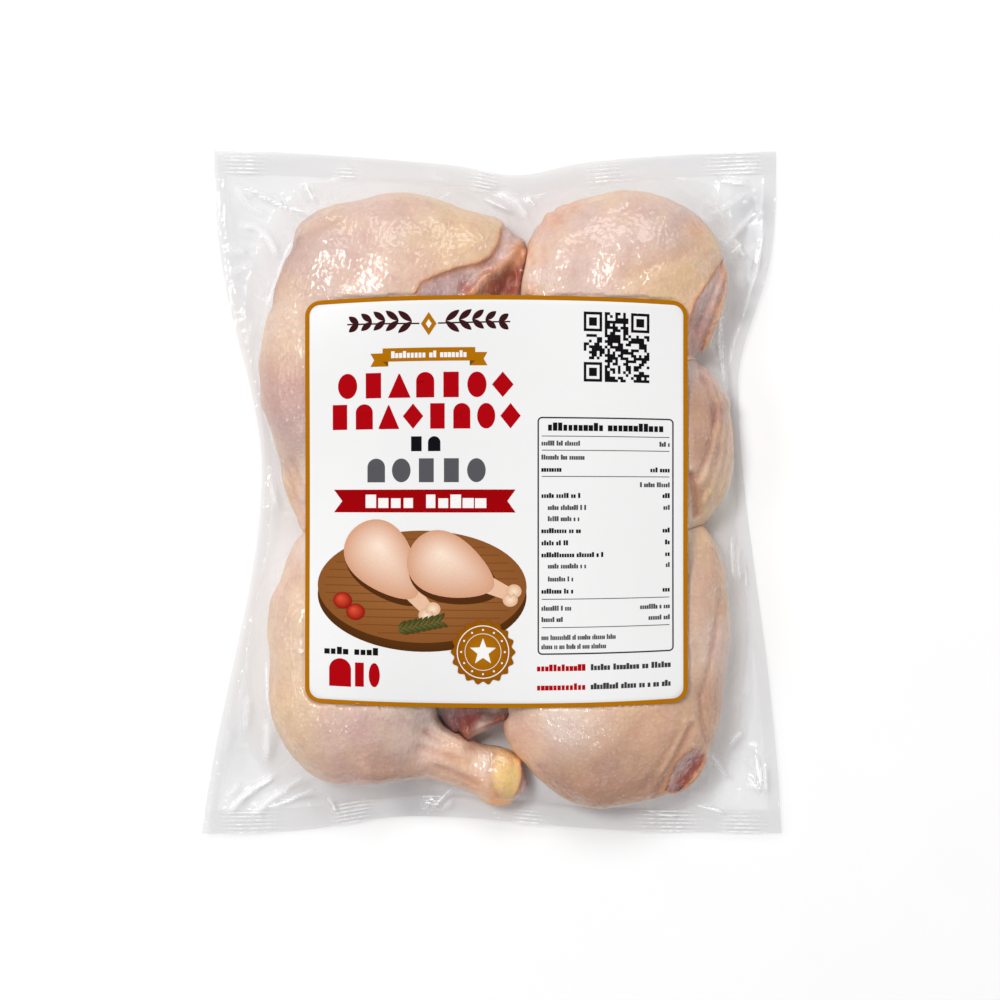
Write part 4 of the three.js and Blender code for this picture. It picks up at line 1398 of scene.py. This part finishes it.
def print_picture(sheet):
    """A wooden board with two plain drumsticks, tomatoes and a sprig."""
    middle = np.array([-40.2, -45.5])
    board = ellipse(56.5, 30, 80)
    sheet.disc(middle + (0, -4.8), board, (120, 74, 34), 1, (82, 46, 18))
    sheet.disc(middle, board, (160, 104, 58), 2, (140, 86, 42))
    for y in np.arange(13) * 4.2 - 25:
        half = 54.6 * math.sqrt(1 - (y / 28.4) ** 2) - 2
        sheet.bar(middle[0], middle[1] + y, 2 * half, 0.5, (126, 74, 36), 3)
    print_drumstick(sheet, middle + (-20, 13), -48, 1.3, 4)
    print_drumstick(sheet, middle + (16, 10), -24, 1.3, 8)
    tomato = ellipse(5, 4.4, 28)
    for offset in ((-43, -8), (-36, -14)):
        sheet.disc(middle + offset, tomato, (224, 84, 54), 13, (150, 18, 14), (-1.4, 1.4))
    for n, side in itertools.product(range(8), (-1, 1)):
        shape = turned(leaf(6.4, 1.1), 14 + side * 36)
        sheet.disc(middle + (-13 + 3 * n, -23 + 0.6 * n), shape, (104, 108, 56), 13, (62, 66, 30))


def print_rosette(sheet):
    """A gold seal with a star, two rings and dots."""
    middle = np.array([-7.3, -80.1])
    count, teeth = 144, 18
    wavy = 16.6 + 0.9 * np.cos(teeth * around(count))
    sheet.disc(middle, ellipse(wavy, wavy, count), (184, 116, 16), 12, (146, 84, 6))
    for inner, outer in ((13.7, 14.2), (9.6, 9.9)):
        sheet.band(ellipse(inner, inner, 72) + middle, ellipse(outer, outer, 72) + middle, WHITE, 13)
    tips = np.tile([7.4, 3.1], 5)
    sheet.disc(middle, turned(ellipse(tips, tips, 10), 90), WHITE, 13)
    for dot in ellipse(11.8, 11.8, 12) + middle:
        sheet.disc(dot, ellipse(0.55, 0.55, 10), WHITE, 13)


def print_corner(sheet):
    """Large plain shapes in the label's lower left corner."""
    words(sheet, -93.2, -80.8, 4, [4, 4], 29.5, BLACK)
    title_row(sheet, -92.9, -76, -92.6, 15.2, "arch", RED)
    title_row(sheet, -78, -62, -93.4, 13, "block disc", RED)


def print_code(sheet):
    """A square of small blocks at random, with a framed square in three corners."""
    corner = np.array([47.2, 64.4])
    size = np.array([1.42, 1.5])
    modules, marker, filled_share, overlap = 25, 7, 0.55, 1.02
    filled = sheet.rng.random((modules, modules)) < filled_share
    rows, columns = np.indices(filled.shape)
    square = turned(ellipse(math.sqrt(0.5), math.sqrt(0.5), 4), 45) * size
    far = modules - marker
    for row, column in ((0, 0), (far, 0), (far, far)):
        near_row = (rows >= row - 1) & (rows <= row + marker)
        near_column = (columns >= column - 1) & (columns <= column + marker)
        filled[near_row & near_column] = False
        middle = corner + (np.array([column, row]) + marker / 2) * size
        sheet.band(square * (marker - 2) + middle, square * marker + middle, BLACK)
        sheet.bar(*middle, *(3 * size), BLACK)
    for row, column in np.argwhere(filled):
        middle = corner + (np.array([column, row]) + 0.5) * size
        sheet.bar(*middle, *(overlap * size), BLACK)


def print_table(sheet):
    """A framed table of rows of blocks, with two more lines below it."""
    left, right, top, bottom, line = 22.2, 95.9, 45.3, -81.7, 0.8
    middle = ((left + right) / 2, (top + bottom) / 2)
    outer = rounded_rectangle(right - left, top - bottom, 2.5)
    inner = rounded_rectangle(right - left - 2 * line, top - bottom - 2 * line, 1.7)
    sheet.band(inner + middle, outer + middle, (52, 52, 56))
    for y in (35.05, 27.5, 13.5, -52.1, -67.2):
        sheet.bar(middle[0], y, right - left - 4.6, 0.45, GREY)
    words(sheet, left + 5.4, 40.1, 4.4, [11, 11], right - left - 10.8, BLACK)
    for y, indent, starts, ends, bold in TABLE_ROWS:
        ink, pitch = (BLACK, 1.38) if bold else ((78, 78, 82), 1.2)
        smaller = 0.84 if y in LAST_ROWS else 1
        start_run, end_run = smaller * pitch * line_length(starts), pitch * line_length(ends)
        words(sheet, left + 2 + indent, y, 2.7, starts, start_run, ink)
        words(sheet, right - 2 - end_run, y, 2.7, ends, end_run, ink)
    for y, groups in ((-88.7, [6, 8, 2, 6]), (-98.9, [9, 5, 2, 1, 2, 3])):
        words(sheet, 21.7, y, 3.6, [12], 26.5, RED)
        words(sheet, 50.8, y, 3.3, groups, 43.5, DARK_GREY)


def make_print(material):
    """All the printing, in the order of its random draws."""
    sheet = Print()
    for draw in (
        print_frame, print_emblem, print_ribbon, print_titles, print_picture, print_rosette,
        print_corner, print_code, print_table,
    ):
        draw(sheet)
    return sheet.mesh("label_print", material)


# Floor, light and camera


def make_floor(material):
    bpy.ops.mesh.primitive_grid_add(x_subdivisions=8, y_subdivisions=8, size=FLOOR_SIZE)
    floor = bpy.context.object
    floor.name = "floor"
    floor.data.materials.append(material)


def make_softbox(name, azimuth, tilt, size, radiance):
    """A light panel that faces the pack."""
    data = bpy.data.lights.new(name, "AREA")
    data.shape = "RECTANGLE"
    data.size, data.size_y = size
    data.energy = radiance * math.pi * size[0] * size[1]
    light = bpy.data.objects.new(name, data)
    azimuth, tilt = math.radians(azimuth), math.radians(tilt)
    flat = Vector((math.cos(azimuth), math.sin(azimuth), 0))
    outward = flat * math.sin(tilt) + Vector((0, 0, math.cos(tilt)))
    light.location = outward * LIGHT_DISTANCE
    light.rotation_euler = (-outward).to_track_quat("-Z", "Y").to_euler()
    bpy.context.scene.collection.objects.link(light)


def make_world(strength):
    world = bpy.data.worlds.new("soft_white")
    world.use_nodes = True
    background = world.node_tree.nodes["Background"]
    background.inputs["Color"].default_value = (1, 1, 1, 1)
    background.inputs["Strength"].default_value = strength
    bpy.context.scene.world = world


def make_camera():
    data = bpy.data.cameras.new("camera")
    data.sensor_width = SENSOR
    data.lens = SENSOR * CAMERA_PLACE[2] / FRAME_WIDTH
    camera = bpy.data.objects.new("camera", data)
    camera.location = CAMERA_PLACE
    bpy.context.scene.collection.objects.link(camera)
    bpy.context.scene.camera = camera


def ride(piece, node):
    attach(piece, BODY)
    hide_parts(node)


axes, fields = quarter_fields()
tops = top_heights(axes, fields)
flesh = flesh_material()
for name, field in fields.items():
    ride(make_quarter(name, axes, field, flesh), "bag")

sheet, front, back = settled_films(axes, tops)
contact = 1 - smoothstep(front - FILM_CLEARANCE - sample(axes, tops, sheet.x, sheet.y), 0.2, 3)
# The broad creases' painted sheen goes into the front sheet's values.
crease_height, crease_away, crease, painted_sheen = creases(sheet, contact)
front = np.minimum(front + film_waves(sheet, contact) + crease_height, BAG_TOP)
from_seal = np.minimum(sheet.from_end - END_SEAL, sheet.from_side - SIDE_SEAL)
slack = (1 - contact) * smoothstep(from_seal, 0, 2)
# The front sheet's values include painted shadow, which greys the film beside the right seal and on the
# bottom seal.
front_values = {
    "slack": slack, "crease_away": crease_away, "crease": crease, "painted_sheen": painted_sheen,
    "shine": spots(sheet, SHINES), "tuck": spots(sheet, PAINTED_SHADOWS),
}
back_values = {"slack": np.ones_like(slack)}
back_step = round(BACK_CELL / FRONT_CELL)
film = film_material()
ride(make_sheet("film_front", sheet, front, front_values, 1, 1, film), "bag")
ride(make_sheet("film_back", sheet, back, back_values, back_step, -1, film), "bag")

ride(make_label(paper_material()), "label")
ride(make_print(ink_material()), "label")

make_floor(floor_material())
make_world(WORLD_STRENGTH)
for light in LIGHTS:
    make_softbox(*light)
make_camera()
bpy.context.scene.view_settings.view_transform = "Standard"
bpy.context.scene.cycles.transparent_max_bounces = 16
